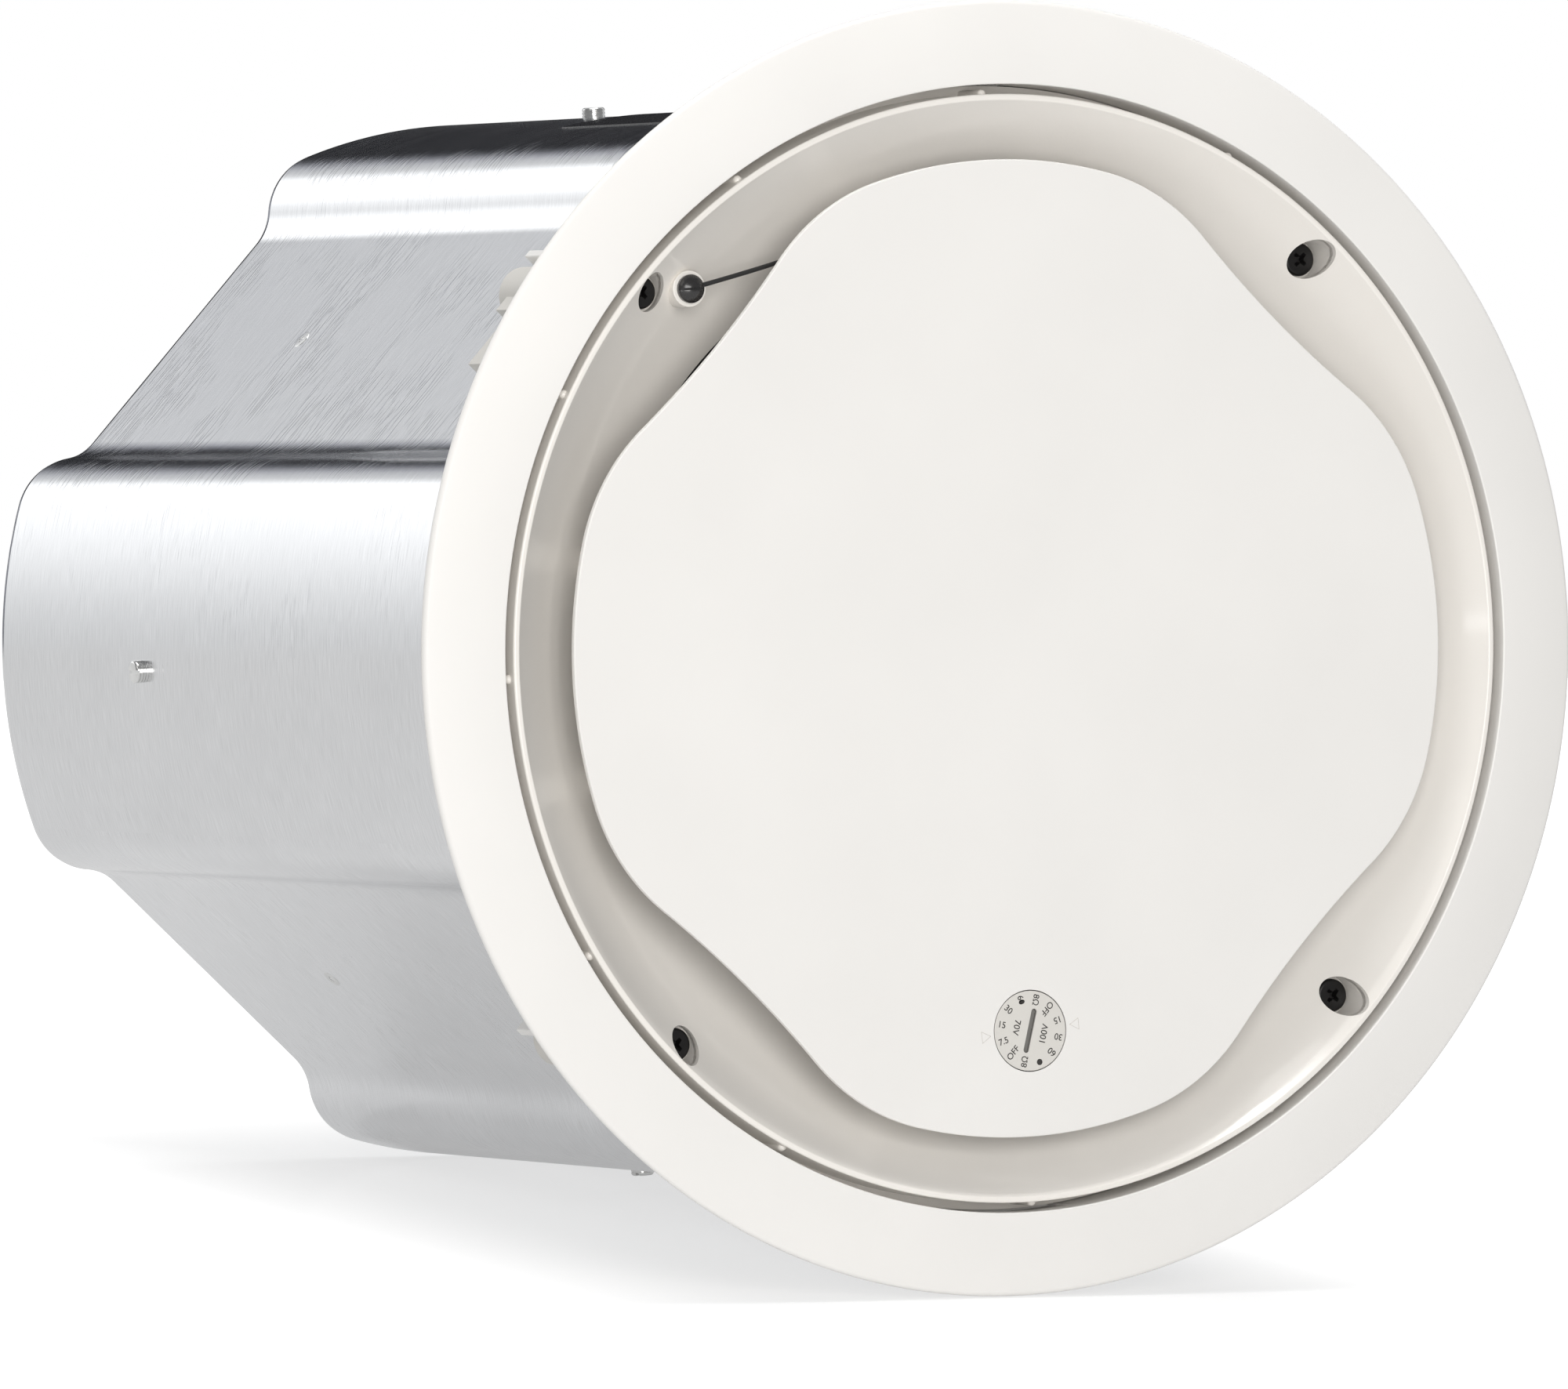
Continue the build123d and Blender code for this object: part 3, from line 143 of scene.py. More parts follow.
def lobed_outline(
    lobe: float, shoulder: float, valley: float, waist: float, shoulder_angle: float, steps: int
) -> list[Point]:
    """Outline of four lobes on the axes, joined across each diagonal by a valley and a flat.

    Args:
        lobe: Radius of the lobes about the axis.
        shoulder: Radius of the rounding at a lobe's ends.
        valley: Radius of the hollow next to a flat.
        waist: Distance of a flat from the axis.
        shoulder_angle: Angle from a lobe's middle to its rounding, in degrees.
        steps: Divisions of each arc.

    Returns:
        The outline's points, counter-clockwise from the middle of the +X lobe's start.
    """
    diagonal, across = polar(1, 45), polar(1, -45)
    shoulder_centre = polar(lobe - shoulder, shoulder_angle)
    rise = waist + valley - shoulder_centre.dot(diagonal)
    half_flat = shoulder_centre.dot(across) - math.sqrt(max((shoulder + valley) ** 2 - rise**2, 0.0))
    valley_centre = diagonal * (waist + valley) + across * half_flat
    blend = shoulder_centre + (valley_centre - shoulder_centre).normalized() * shoulder
    flat_end = diagonal * waist + across * half_flat
    half = arc_between(shoulder_centre, polar(lobe, shoulder_angle), blend, steps)
    half += arc_between(valley_centre, blend, flat_end, steps)[1:]
    quarter = arc((0, 0), lobe, -shoulder_angle, shoulder_angle, 2 * steps)[:-1]
    quarter += half + [(y, x) for x, y in reversed(half)][:-1]
    turns = [Matrix.Rotation(math.radians(90 * turn), 2) for turn in range(QUARTERS)]
    points = [turn @ Vector(point) for turn in turns for point in quarter]
    return [tuple(b) for a, b in zip(points[-1:] + points, points) if (a - b).length > 1e-4]


def finish_mesh(work: bmesh.types.BMesh, name: str) -> bpy.types.Mesh:
    """Closes a mesh in progress: welds it, faces it outward and smooths it.

    Args:
        work: The mesh in progress, in metres. It is freed.
        name: Name of the new mesh.

    Returns:
        The finished mesh.
    """
    bmesh.ops.remove_doubles(work, verts=work.verts, dist=1e-7)
    bmesh.ops.recalc_face_normals(work, faces=work.faces)
    mesh = bpy.data.meshes.new(name)
    work.to_mesh(mesh)
    work.free()
    smooth(mesh)
    return mesh


def smooth(mesh: bpy.types.Mesh) -> None:
    """Shades a mesh smooth with crisp edges.

    Args:
        mesh: The mesh to shade.
    """
    mesh.shade_smooth()
    mesh.set_sharp_from_angle(angle=SMOOTH_ANGLE)


def swept(name: str, stations: Sequence[tuple[float, Sequence[Point]]], closed: bool = True) -> bpy.types.Mesh:
    """Solid of revolution whose section may change with the angle.

    Args:
        name: Name of the mesh.
        stations: Angle in degrees and section as (radius, height) points, all sections with as many points.
        closed: Whether a section's last point joins its first; an open one starts and ends on the axis.

    Returns:
        The mesh.
    """
    work = bmesh.new()
    rings = []
    for angle, section in stations:
        places = [(polar(radius, angle), height) for radius, height in section]
        rings.append([work.verts.new((at.x * MM, at.y * MM, height * MM)) for at, height in places])
    count = len(rings[0])
    for ring, following in zip(rings, rings[1:] + rings[:1]):
        for index in range(count if closed else count - 1):
            after = (index + 1) % count
            work.faces.new((ring[index], ring[after], following[after], following[index]))
    return finish_mesh(work, name)


def lathe(
    name: str, section: Sequence[Point], place: Point = (0, 0), segments: int = SEGMENTS, closed: bool = False
) -> bpy.types.Mesh:
    """Solid of revolution about an upright axis.

    Args:
        name: Name of the mesh.
        section: (radius, height) points; an open section starts and ends on the axis.
        place: Where the axis stands.
        segments: Divisions round the axis.
        closed: Whether the section is a closed loop.

    Returns:
        The mesh.
    """
    mesh = swept(name, [(360 * n / segments, section) for n in range(segments)], closed)
    mesh.transform(Matrix.Translation((place[0] * MM, place[1] * MM, 0)))
    return mesh


def slab(
    name: str, outlines: Sequence[Sequence[Point]], bottom: float, top: float, edge: float = 0.0
) -> bpy.types.Mesh:
    """Flat plate between two heights with rounded edges.

    Args:
        name: Name of the mesh.
        outlines: The outer outline, then those of the holes.
        bottom: Lower height.
        top: Upper height.
        edge: Radius of its edges.

    Returns:
        The mesh.
    """
    curve = bpy.data.curves.new(name, "CURVE")
    curve.dimensions = "2D"
    curve.fill_mode = "BOTH"
    curve.extrude = ((top - bottom) / 2 - edge) * MM
    curve.bevel_depth = edge * MM
    curve.bevel_resolution = 2
    curve.offset = -edge * MM
    for outline in outlines:
        spline = curve.splines.new("POLY")
        spline.points.add(len(outline) - 1)
        for target, (x, y) in zip(spline.points, outline):
            target.co = (x * MM, y * MM, 0, 1)
        spline.use_cyclic_u = True
    holder = bpy.data.objects.new(name, curve)
    raw = bpy.data.meshes.new_from_object(holder)
    raw.transform(Matrix.Translation((0, 0, (bottom + top) / 2 * MM)))
    work = bmesh.new()
    work.from_mesh(raw)
    bpy.data.objects.remove(holder)
    bpy.data.curves.remove(curve)
    bpy.data.meshes.remove(raw)
    return finish_mesh(work, name)


def block(name: str, x: Point, y: Point, z: Point) -> bpy.types.Mesh:
    """Box between given limits.

    Args:
        name: Name of the mesh.
        x: Lower and upper X.
        y: Lower and upper Y.
        z: Lower and upper Z.

    Returns:
        The mesh.
    """
    return slab(name, [[(x[0], y[0]), (x[1], y[0]), (x[1], y[1]), (x[0], y[1])]], *z)


def joined(name: str, meshes: Iterable[bpy.types.Mesh]) -> bpy.types.Mesh:
    """One mesh that holds several, which are removed.

    Args:
        name: Name of the new mesh.
        meshes: The meshes to join.

    Returns:
        The joined mesh.
    """
    work = bmesh.new()
    for mesh in meshes:
        work.from_mesh(mesh)
        bpy.data.meshes.remove(mesh)
    made = bpy.data.meshes.new(name)
    work.to_mesh(made)
    work.free()
    smooth(made)
    return made


def shown(name: str, mesh: bpy.types.Mesh) -> bpy.types.Object:
    """Object at the origin that shows a mesh.

    Args:
        name: Name of the object.
        mesh: Its mesh.

    Returns:
        The object, linked to the scene.
    """
    thing = bpy.data.objects.new(name, mesh)
    bpy.context.scene.collection.objects.link(thing)
    return thing


def baked(thing: bpy.types.Object) -> bpy.types.Object:
    """Turns an object's modifiers into its mesh.

    Args:
        thing: The object.

    Returns:
        The same object without modifiers.
    """
    graph = bpy.context.evaluated_depsgraph_get()
    mesh = bpy.data.meshes.new_from_object(thing.evaluated_get(graph), preserve_all_data_layers=True, depsgraph=graph)
    thing.modifiers.clear()
    old = thing.data
    thing.data = mesh
    bpy.data.meshes.remove(old)
    return thing


class Cut(Enum):
    """How one solid works on another."""

    REMOVE = "DIFFERENCE"


def combine(base: bpy.types.Mesh, tool: bpy.types.Mesh, cut: Cut) -> bpy.types.Mesh:
    """Boolean of two solids. Both meshes are used up.

    Args:
        base: The solid that is worked on.
        tool: The solid that works on it.
        cut: The operation.

    Returns:
        The result.
    """
    subject, helper = shown(base.name, base), shown(tool.name, tool)
    change = subject.modifiers.new("cut", "BOOLEAN")
    change.object = helper
    change.operation = cut.value
    change.solver = "EXACT"
    mesh = baked(subject).data
    bpy.data.objects.remove(subject)
    bpy.data.objects.remove(helper)
    bpy.data.meshes.remove(tool)
    smooth(mesh)
    return mesh


def cad_copy(node: str, edge: float) -> bpy.types.Mesh:
    """Copy of a CAD node with welded faces and softened edges.

    Args:
        node: The CAD node.
        edge: Width of the bevel on its sharp edges.

    Returns:
        The copy.
    """
    work = bmesh.new()
    work.from_mesh(frame["nodes"][node].data)
    bmesh.ops.remove_doubles(work, verts=work.verts, dist=2e-6)
    bmesh.ops.dissolve_limit(work, angle_limit=math.radians(1), verts=work.verts, edges=work.edges)
    copy = shown(f"{node}_copy", finish_mesh(work, node))
    soften = copy.modifiers.new("edges", "BEVEL")
    soften.width = edge * MM
    soften.segments = 2
    soften.limit_method = "ANGLE"
    soften.angle_limit = math.radians(40)
    mesh = baked(copy).data
    bpy.data.objects.remove(copy)
    smooth(mesh)
    return mesh


def even_shading(thing: bpy.types.Object) -> None:
    """Lets the large faces set the shading next to narrow edges, so that flats look flat.

    Args:
        thing: A piece with a mesh.
    """
    change = thing.modifiers.new("shading", "WEIGHTED_NORMAL")
    change.mode = "FACE_AREA"
    change.weight = SHADING_WEIGHT
    change.keep_sharp = True
    baked(thing)


def adopt(thing: bpy.types.Object, body: str, slot: str | None, *nodes: str) -> bpy.types.Object:
    """Hangs a finished piece on its body and reports it.

    Args:
        thing: The piece.
        body: The CAD body that it rides on.
        slot: The record's material slot, or None for print; not used.
        nodes: The CAD nodes that it stands for.

    Returns:
        The piece.
    """
    if thing.type == "MESH":
        even_shading(thing)
    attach(thing, body)
    if nodes:
        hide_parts(*nodes)
    LOG.info("%s: rides on %s, %d faces", thing.name, body, len(getattr(thing.data, "polygons", ())))
    return thing


# Repeats round the axis


@dataclass(frozen=True)
class Ring:
    """Where the copies of a repeated detail stand round the Z axis.

    Attributes:
        count: Number of copies.
        radius: Distance of each copy from the axis.
        start: Angle of the first station in degrees.
        step: Angle between stations in degrees.
        members: Copies at each station.
        spread: Angle of a station's copies to each side of it, in degrees.
        roll: Turn of each copy about its own X, more than the last one's, in degrees.
    """

    count: int
    radius: float
    start: float
    step: float
    members: int = 1
    spread: float = 0.0
    roll: float = 0.0


class RingRepeater:
    """Geometry Nodes tree that stands copies of a template round the Z axis, next to a base mesh."""

    INPUTS = (
        ("Template", "NodeSocketObject"),
        ("Count", "NodeSocketInt"),
        ("Members", "NodeSocketInt"),
        ("Radius", "NodeSocketFloat"),
        ("Start", "NodeSocketFloat"),
        ("Step", "NodeSocketFloat"),
        ("Spread", "NodeSocketFloat"),
        ("Roll", "NodeSocketFloat"),
        ("Finish", "NodeSocketMaterial"),
    )

    def __init__(self) -> None:
        """Builds the tree."""
        self.tree = bpy.data.node_groups.new("ring_of_copies", "GeometryNodeTree")
        face = self.tree.interface
        face.new_socket("Base", in_out="INPUT", socket_type="NodeSocketGeometry")
        self.keys = {name: face.new_socket(name, in_out="INPUT", socket_type=kind).identifier for name, kind in self.INPUTS}
        face.new_socket("Result", in_out="OUTPUT", socket_type="NodeSocketGeometry")
        self._wire()

    def _node(self, kind: str, **settings: object) -> bpy.types.Node:
        """Adds a node.

        Args:
            kind: Its type.
            settings: Properties to set on it.

        Returns:
            The node.
        """
        node = self.tree.nodes.new(kind)
        for key, value in settings.items():
            setattr(node, key, value)
        return node

    def _sum(self, operation: str, first: object, second: object = None, third: object = None) -> bpy.types.NodeSocket:
        """Adds a maths node.

        Args:
            operation: What it does.
            first: Socket or number.
            second: Socket or number.
            third: Socket or number.

        Returns:
            Its output.
        """
        node = self._node("ShaderNodeMath", operation=operation)
        for slot, value in zip(node.inputs, (first, second, third)):
            if isinstance(value, bpy.types.NodeSocket):
                self.tree.links.new(value, slot)
            elif value is not None:
                slot.default_value = value
        return node.outputs[0]

    def _wire(self) -> None:
        """Places and links the nodes."""
        link = self.tree.links.new
        given = self._node("NodeGroupInput").outputs
        index = self._node("GeometryNodeInputIndex").outputs[0]
        station = self._sum("FLOOR", self._sum("DIVIDE", index, given["Members"]))
        member = self._sum("MODULO", index, given["Members"])
        lead = self._sum("SUBTRACT", given["Members"], 1.0)
        side = self._sum("SUBTRACT", self._sum("MULTIPLY", member, 2.0), lead)
        turn = self._sum("MULTIPLY_ADD", station, given["Step"], given["Start"])
        turn = self._sum("MULTIPLY_ADD", side, given["Spread"], turn)
        place = self._node("ShaderNodeCombineXYZ")
        link(self._sum("MULTIPLY", self._sum("COSINE", turn), given["Radius"]), place.inputs["X"])
        link(self._sum("MULTIPLY", self._sum("SINE", turn), given["Radius"]), place.inputs["Y"])
        facing = self._node("ShaderNodeCombineXYZ")
        link(self._sum("MULTIPLY", index, given["Roll"]), facing.inputs["X"])
        link(turn, facing.inputs["Z"])
        rotation = self._node("FunctionNodeEulerToRotation")
        link(facing.outputs[0], rotation.inputs[0])
        points = self._node("GeometryNodePoints")
        link(given["Count"], points.inputs["Count"])
        link(place.outputs[0], points.inputs["Position"])
        template = self._node("GeometryNodeObjectInfo", transform_space="ORIGINAL")
        link(given["Template"], template.inputs["Object"])
        copies = self._node("GeometryNodeInstanceOnPoints")
        link(points.outputs[0], copies.inputs["Points"])
        link(template.outputs["Geometry"], copies.inputs["Instance"])
        link(rotation.outputs[0], copies.inputs["Rotation"])
        together = self._node("GeometryNodeJoinGeometry")
        link(given["Base"], together.inputs[0])
        link(copies.outputs[0], together.inputs[0])
        real = self._node("GeometryNodeRealizeInstances")
        link(together.outputs[0], real.inputs[0])
        coat = self._node("GeometryNodeSetMaterial")
        link(real.outputs[0], coat.inputs["Geometry"])
        link(given["Finish"], coat.inputs["Material"])
        link(coat.outputs[0], self._node("NodeGroupOutput").inputs[0])

    def repeat(
        self, thing: bpy.types.Object, template: bpy.types.Mesh, ring: Ring, finish: bpy.types.Material
    ) -> bpy.types.Object:
        """Adds a ring of copies to an object's mesh.

        Args:
            thing: The object that takes the copies.
            template: What is repeated, in the frame of its own place. It is used up.
            ring: Where the copies stand.
            finish: Material of the result.

        Returns:
            The same object.
        """
        holder = shown(f"{thing.name}_template", template)
        change = thing.modifiers.new("ring", "NODES")
        change.node_group = self.tree
        values = {
            "Template": holder,
            "Count": ring.count,
            "Members": ring.members,
            "Radius": ring.radius * MM,
            "Start": math.radians(ring.start),
            "Step": math.radians(ring.step),
            "Spread": math.radians(ring.spread),
            "Roll": math.radians(ring.roll),
            "Finish": finish,
        }
        for name, value in values.items():
            change[self.keys[name]] = value
        baked(thing)
        bpy.data.objects.remove(holder)
        bpy.data.meshes.remove(template)
        return thing


# Finishes


class Graph:
    """Short calls for building one shader tree."""

    def __init__(self, tree: bpy.types.NodeTree) -> None:
        """Wraps a tree.

        Args:
            tree: The tree to build in.
        """
        self.tree = tree

    def node(self, kind: str, **settings: object) -> bpy.types.Node:
        """Adds a node.

        Args:
            kind: Its type.
            settings: Properties to set on it.

        Returns:
            The node.
        """
        node = self.tree.nodes.new(kind)
        for key, value in settings.items():
            setattr(node, key, value)
        return node

    def fill(self, slot: bpy.types.NodeSocket, value: object) -> None:
        """Links a socket to an input, or sets the input's value.

        Args:
            slot: The input.
            value: A socket, number, vector or colour.
        """
        if isinstance(value, bpy.types.NodeSocket):
            self.tree.links.new(value, slot)
        else:
            slot.default_value = value

    def coordinates(self, kind: str = "Object") -> bpy.types.NodeSocket:
        """Texture coordinates.

        Args:
            kind: Which of them.

        Returns:
            Their socket.
        """
        return self.node("ShaderNodeTexCoord").outputs[kind]

    def stretched(self, vector: bpy.types.NodeSocket, scale: Sequence[float]) -> bpy.types.NodeSocket:
        """Coordinates scaled differently along each axis.

        Args:
            vector: The coordinates.
            scale: Factor of each axis.

        Returns:
            The scaled coordinates.
        """
        mapping = self.node("ShaderNodeMapping")
        mapping.inputs["Scale"].default_value = scale
        self.fill(mapping.inputs["Vector"], vector)
        return mapping.outputs[0]

    def noise(self, vector: bpy.types.NodeSocket, scale: float, detail: float = 2.0) -> bpy.types.NodeSocket:
        """Noise texture.

        Args:
            vector: Coordinates.
            scale: Features per metre.
            detail: Number of finer layers.

        Returns:
            Its factor.
        """
        texture = self.node("ShaderNodeTexNoise")
        self.fill(texture.inputs["Vector"], vector)
        texture.inputs["Scale"].default_value = scale
        texture.inputs["Detail"].default_value = detail
        return texture.outputs[0]

    def spread(
        self, value: object, low: float, high: float, start: float = 0.3, end: float = 0.7, eased: bool = False
    ) -> bpy.types.NodeSocket:
        """Maps a value to another range.

        Args:
            value: The socket to map.
            low: Result at the start.
            high: Result at the end.
            start: Value that gives low.
            end: Value that gives high.
            eased: Whether the ends are smooth.

        Returns:
            The mapped value.
        """
        node = self.node("ShaderNodeMapRange", interpolation_type="SMOOTHSTEP" if eased else "LINEAR")
        for key, number in (("From Min", start), ("From Max", end), ("To Min", low), ("To Max", high)):
            node.inputs[key].default_value = number
        self.fill(node.inputs["Value"], value)
        return node.outputs[0]

    def sum(self, operation: str, first: object, second: object) -> bpy.types.NodeSocket:
        """Maths node.

        Args:
            operation: What it does.
            first: Socket or number.
            second: Socket or number.

        Returns:
            Its output.
        """
        node = self.node("ShaderNodeMath", operation=operation)
        self.fill(node.inputs[0], first)
        self.fill(node.inputs[1], second)
        return node.outputs[0]

    def blend(self, factor: object, first: object, second: Rgb) -> bpy.types.NodeSocket:
        """Mix of two colours.

        Args:
            factor: Share of the second.
            first: First colour, or its socket.
            second: Second colour.

        Returns:
            The mixed colour.
        """
        node = self.node("ShaderNodeMix", data_type="RGBA")
        self.fill(node.inputs["Factor"], factor)
        self.fill(node.inputs[6], first if isinstance(first, bpy.types.NodeSocket) else (*first, 1))
        node.inputs[7].default_value = (*second, 1)
        return node.outputs[2]

    def bump(self, height: object, depth: float, strength: float = 1.0) -> bpy.types.NodeSocket:
        """Bumped normal.

        Args:
            height: Height texture.
            depth: Its depth in metres.
            strength: Share of the effect.

        Returns:
            The normal.
        """
        node = self.node("ShaderNodeBump")
        node.inputs["Strength"].default_value = strength
        node.inputs["Distance"].default_value = depth
        self.fill(node.inputs["Height"], height)
        return node.outputs[0]


@dataclass(frozen=True)
class Finish:
    """A procedural finish.

    Attributes:
        slot: The record's material slot that it dresses.
        colour: Linear base colour.
        roughness: Middle roughness.
        variant: Added to the material's name where a slot has two finishes.
    """

    slot: str
    colour: Rgb
    roughness: float
    variant: str = ""

    def shade(self, amount: float) -> Rgb:
        """The base colour, lighter or darker.

        Args:
            amount: Factor on the colour.

        Returns:
            The changed colour, at most 1 in each channel.
        """
        return tuple(min(channel * amount, 1.0) for channel in self.colour)

    def material(self) -> bpy.types.Material:
        """The finish as a material, made once.

        Returns:
            The material.
        """
        name = f"{self.slot}{self.variant}_finish"
        if name not in bpy.data.materials:
            made = bpy.data.materials.new(name)
            made.use_nodes = True
            made.diffuse_color = (*self.colour, 1)
            self.dress(Graph(made.node_tree), made.node_tree.nodes["Principled BSDF"].inputs)
        return bpy.data.materials[name]

    def dress(self, graph: Graph, shader: bpy.types.NodeInputs) -> None:
        """Fills the shader's inputs.

        Args:
            graph: The material's tree.
            shader: Inputs of its Principled BSDF.
        """
        raise NotImplementedError


@dataclass(frozen=True)
class MouldedPlastic(Finish):
    """Injection-moulded plastic with a fine skin.

    Attributes:
        grain: Size of the skin's grain in millimetres.
        depth: Depth of the grain in millimetres.
        tint: Factor on the colour in its paler and darker patches.
        gloss: Weight of the polished skin that gives sharp highlights.
        painted_shade_depth: Z in millimetres where painted shade in recesses starts and where it is full, or None.
    """

    grain: float = 0.8
    depth: float = 0.02
    tint: float = 0.97
    gloss: float = 0.0
    painted_shade_depth: Point | None = None

    def dress(self, graph: Graph, shader: bpy.types.NodeInputs) -> None:
        """See Finish.dress."""
        place = graph.coordinates()
        grain = graph.noise(place, 1 / (self.grain * MM), 3)
        flow = graph.noise(place, 14, 3)
        colour = graph.blend(graph.spread(flow, 0, 1), self.shade(self.tint), self.colour)
        # Painted shade: the colour darkens with depth behind the front face, standing in for the shade inside recesses
        # such as the dial's slot and the gap round its edge.
        if self.painted_shade_depth:
            axes = graph.node("ShaderNodeSeparateXYZ")
            graph.fill(axes.inputs[0], place)
            start, end = (height * MM for height in self.painted_shade_depth)
            colour = graph.blend(graph.spread(axes.outputs["Z"], 0, 1, start, end), colour, self.shade(0.3))
        graph.fill(shader["Base Color"], colour)
        skin = graph.spread(grain, self.roughness - 0.04, self.roughness + 0.04)
        graph.fill(shader["Roughness"], graph.sum("ADD", skin, graph.spread(flow, -0.03, 0.03)))
        graph.fill(shader["Normal"], graph.bump(grain, self.depth * MM))
        shader["IOR"].default_value = 1.48
        shader["Coat Weight"].default_value = self.gloss
        shader["Coat Roughness"].default_value = 0.1


@dataclass(frozen=True)
class RolledSheet(Finish):
    """Bright plated sheet with short rolling scratches across the part's axis.

    Attributes:
        scratch: Length and width of a scratch in millimetres.
        mark: Length and width of a raised mark in millimetres.
        depth: Depth of the scratches in millimetres.
        unwrapped: Whether the mesh carries its own unrolled coordinates.
    """

    scratch: Point = (9.0, 0.5)
    mark: Point = (16.0, 1.3)
    depth: float = 0.016
    unwrapped: bool = False

    def across(self, size: Point) -> tuple[float, float, float]:
        """Scale of a texture that is stretched across the part's axis.

        Args:
            size: Length and width of its features in millimetres.

        Returns:
            Features per metre along each axis.
        """
        length, width = (1 / (side * MM) for side in size)
        return (length, width, 1) if self.unwrapped else (length, length, width)

    def dress(self, graph: Graph, shader: bpy.types.NodeInputs) -> None:
        """See Finish.dress."""
        place = graph.coordinates("UV" if self.unwrapped else "Object")
        scale = self.across(self.scratch)
        fine = graph.noise(graph.stretched(place, scale), 1.0, 4)
        coarse = graph.noise(graph.stretched(place, [factor / 5 for factor in scale]), 1.0, 3)
        cloud = graph.noise(place, 22, 3)
        tone = graph.sum("MULTIPLY", graph.spread(fine, 0.5, 1.0), graph.spread(cloud, 0.8, 1.0))
        graph.fill(shader["Base Color"], graph.blend(tone, self.shade(0.8), self.shade(1.08)))
        streaks = graph.spread(coarse, self.roughness - 0.02, self.roughness + 0.02)
        graph.fill(shader["Roughness"], graph.sum("ADD", streaks, graph.spread(fine, -0.015, 0.015)))
        marks = graph.noise(graph.stretched(place, self.across(self.mark)), 1.0, 1)
        patches = graph.spread(cloud, 0.0, 1.8, 0.4, 0.6, True)
        raised = graph.sum("MULTIPLY", patches, graph.spread(marks, 0.0, 1.0, 0.5, 0.62, True))
        height = graph.sum("ADD", raised, graph.sum("ADD", fine, coarse))
        graph.fill(shader["Normal"], graph.bump(height, self.depth * MM))
        shader["Metallic"].default_value = 1.0


@dataclass(frozen=True)
class BareMetal(Finish):
    """Turned, plated or blackened metal with fine marks.

    Attributes:
        metallic: Share of bare metal.
        marks: Size of its marks in millimetres.
        depth: Depth of the marks in millimetres.
    """

    metallic: float = 1.0
    marks: float = 0.6
    depth: float = 0.004

    def dress(self, graph: Graph, shader: bpy.types.NodeInputs) -> None:
        """See Finish.dress."""
        place = graph.coordinates()
        marks = graph.noise(place, 1 / (self.marks * MM), 4)
        cloud = graph.noise(place, 90, 2)
        graph.fill(shader["Base Color"], graph.blend(graph.spread(cloud, 0, 1), self.shade(0.85), self.shade(1.1)))
        graph.fill(shader["Roughness"], graph.spread(marks, self.roughness - 0.06, self.roughness + 0.08))
        graph.fill(shader["Normal"], graph.bump(marks, self.depth * MM))
        shader["Metallic"].default_value = self.metallic


@dataclass(frozen=True)
class Fibrous(Finish):
    """Paper pulp, foam, cloth or wrapping with a soft, uneven face.

    Attributes:
        fibre: Size of the fibres in millimetres.
        depth: Depth of the fibres in millimetres.
        sheen: Weight of the soft edge light.
    """

    fibre: float = 1.2
    depth: float = 0.15
    sheen: float = 0.2

    def dress(self, graph: Graph, shader: bpy.types.NodeInputs) -> None:
        """See Finish.dress."""
        place = graph.coordinates()
        fibres = graph.noise(graph.stretched(place, (1, 1, 2.5)), 1 / (self.fibre * MM), 6)
        cells = graph.node("ShaderNodeTexVoronoi", feature="F1")
        graph.fill(cells.inputs["Vector"], place)
        cells.inputs["Scale"].default_value = 0.5 / (self.fibre * MM)
        height = graph.sum("ADD", fibres, graph.spread(cells.outputs["Distance"], 0, 0.3, 0, 1))
        graph.fill(shader["Base Color"], graph.blend(graph.spread(fibres, 0, 1), self.shade(0.7), self.shade(1.2)))
        graph.fill(shader["Roughness"], graph.spread(fibres, self.roughness - 0.08, min(self.roughness + 0.08, 1)))
        graph.fill(shader["Normal"], graph.bump(height, self.depth * MM))
        shader["Sheen Weight"].default_value = self.sheen


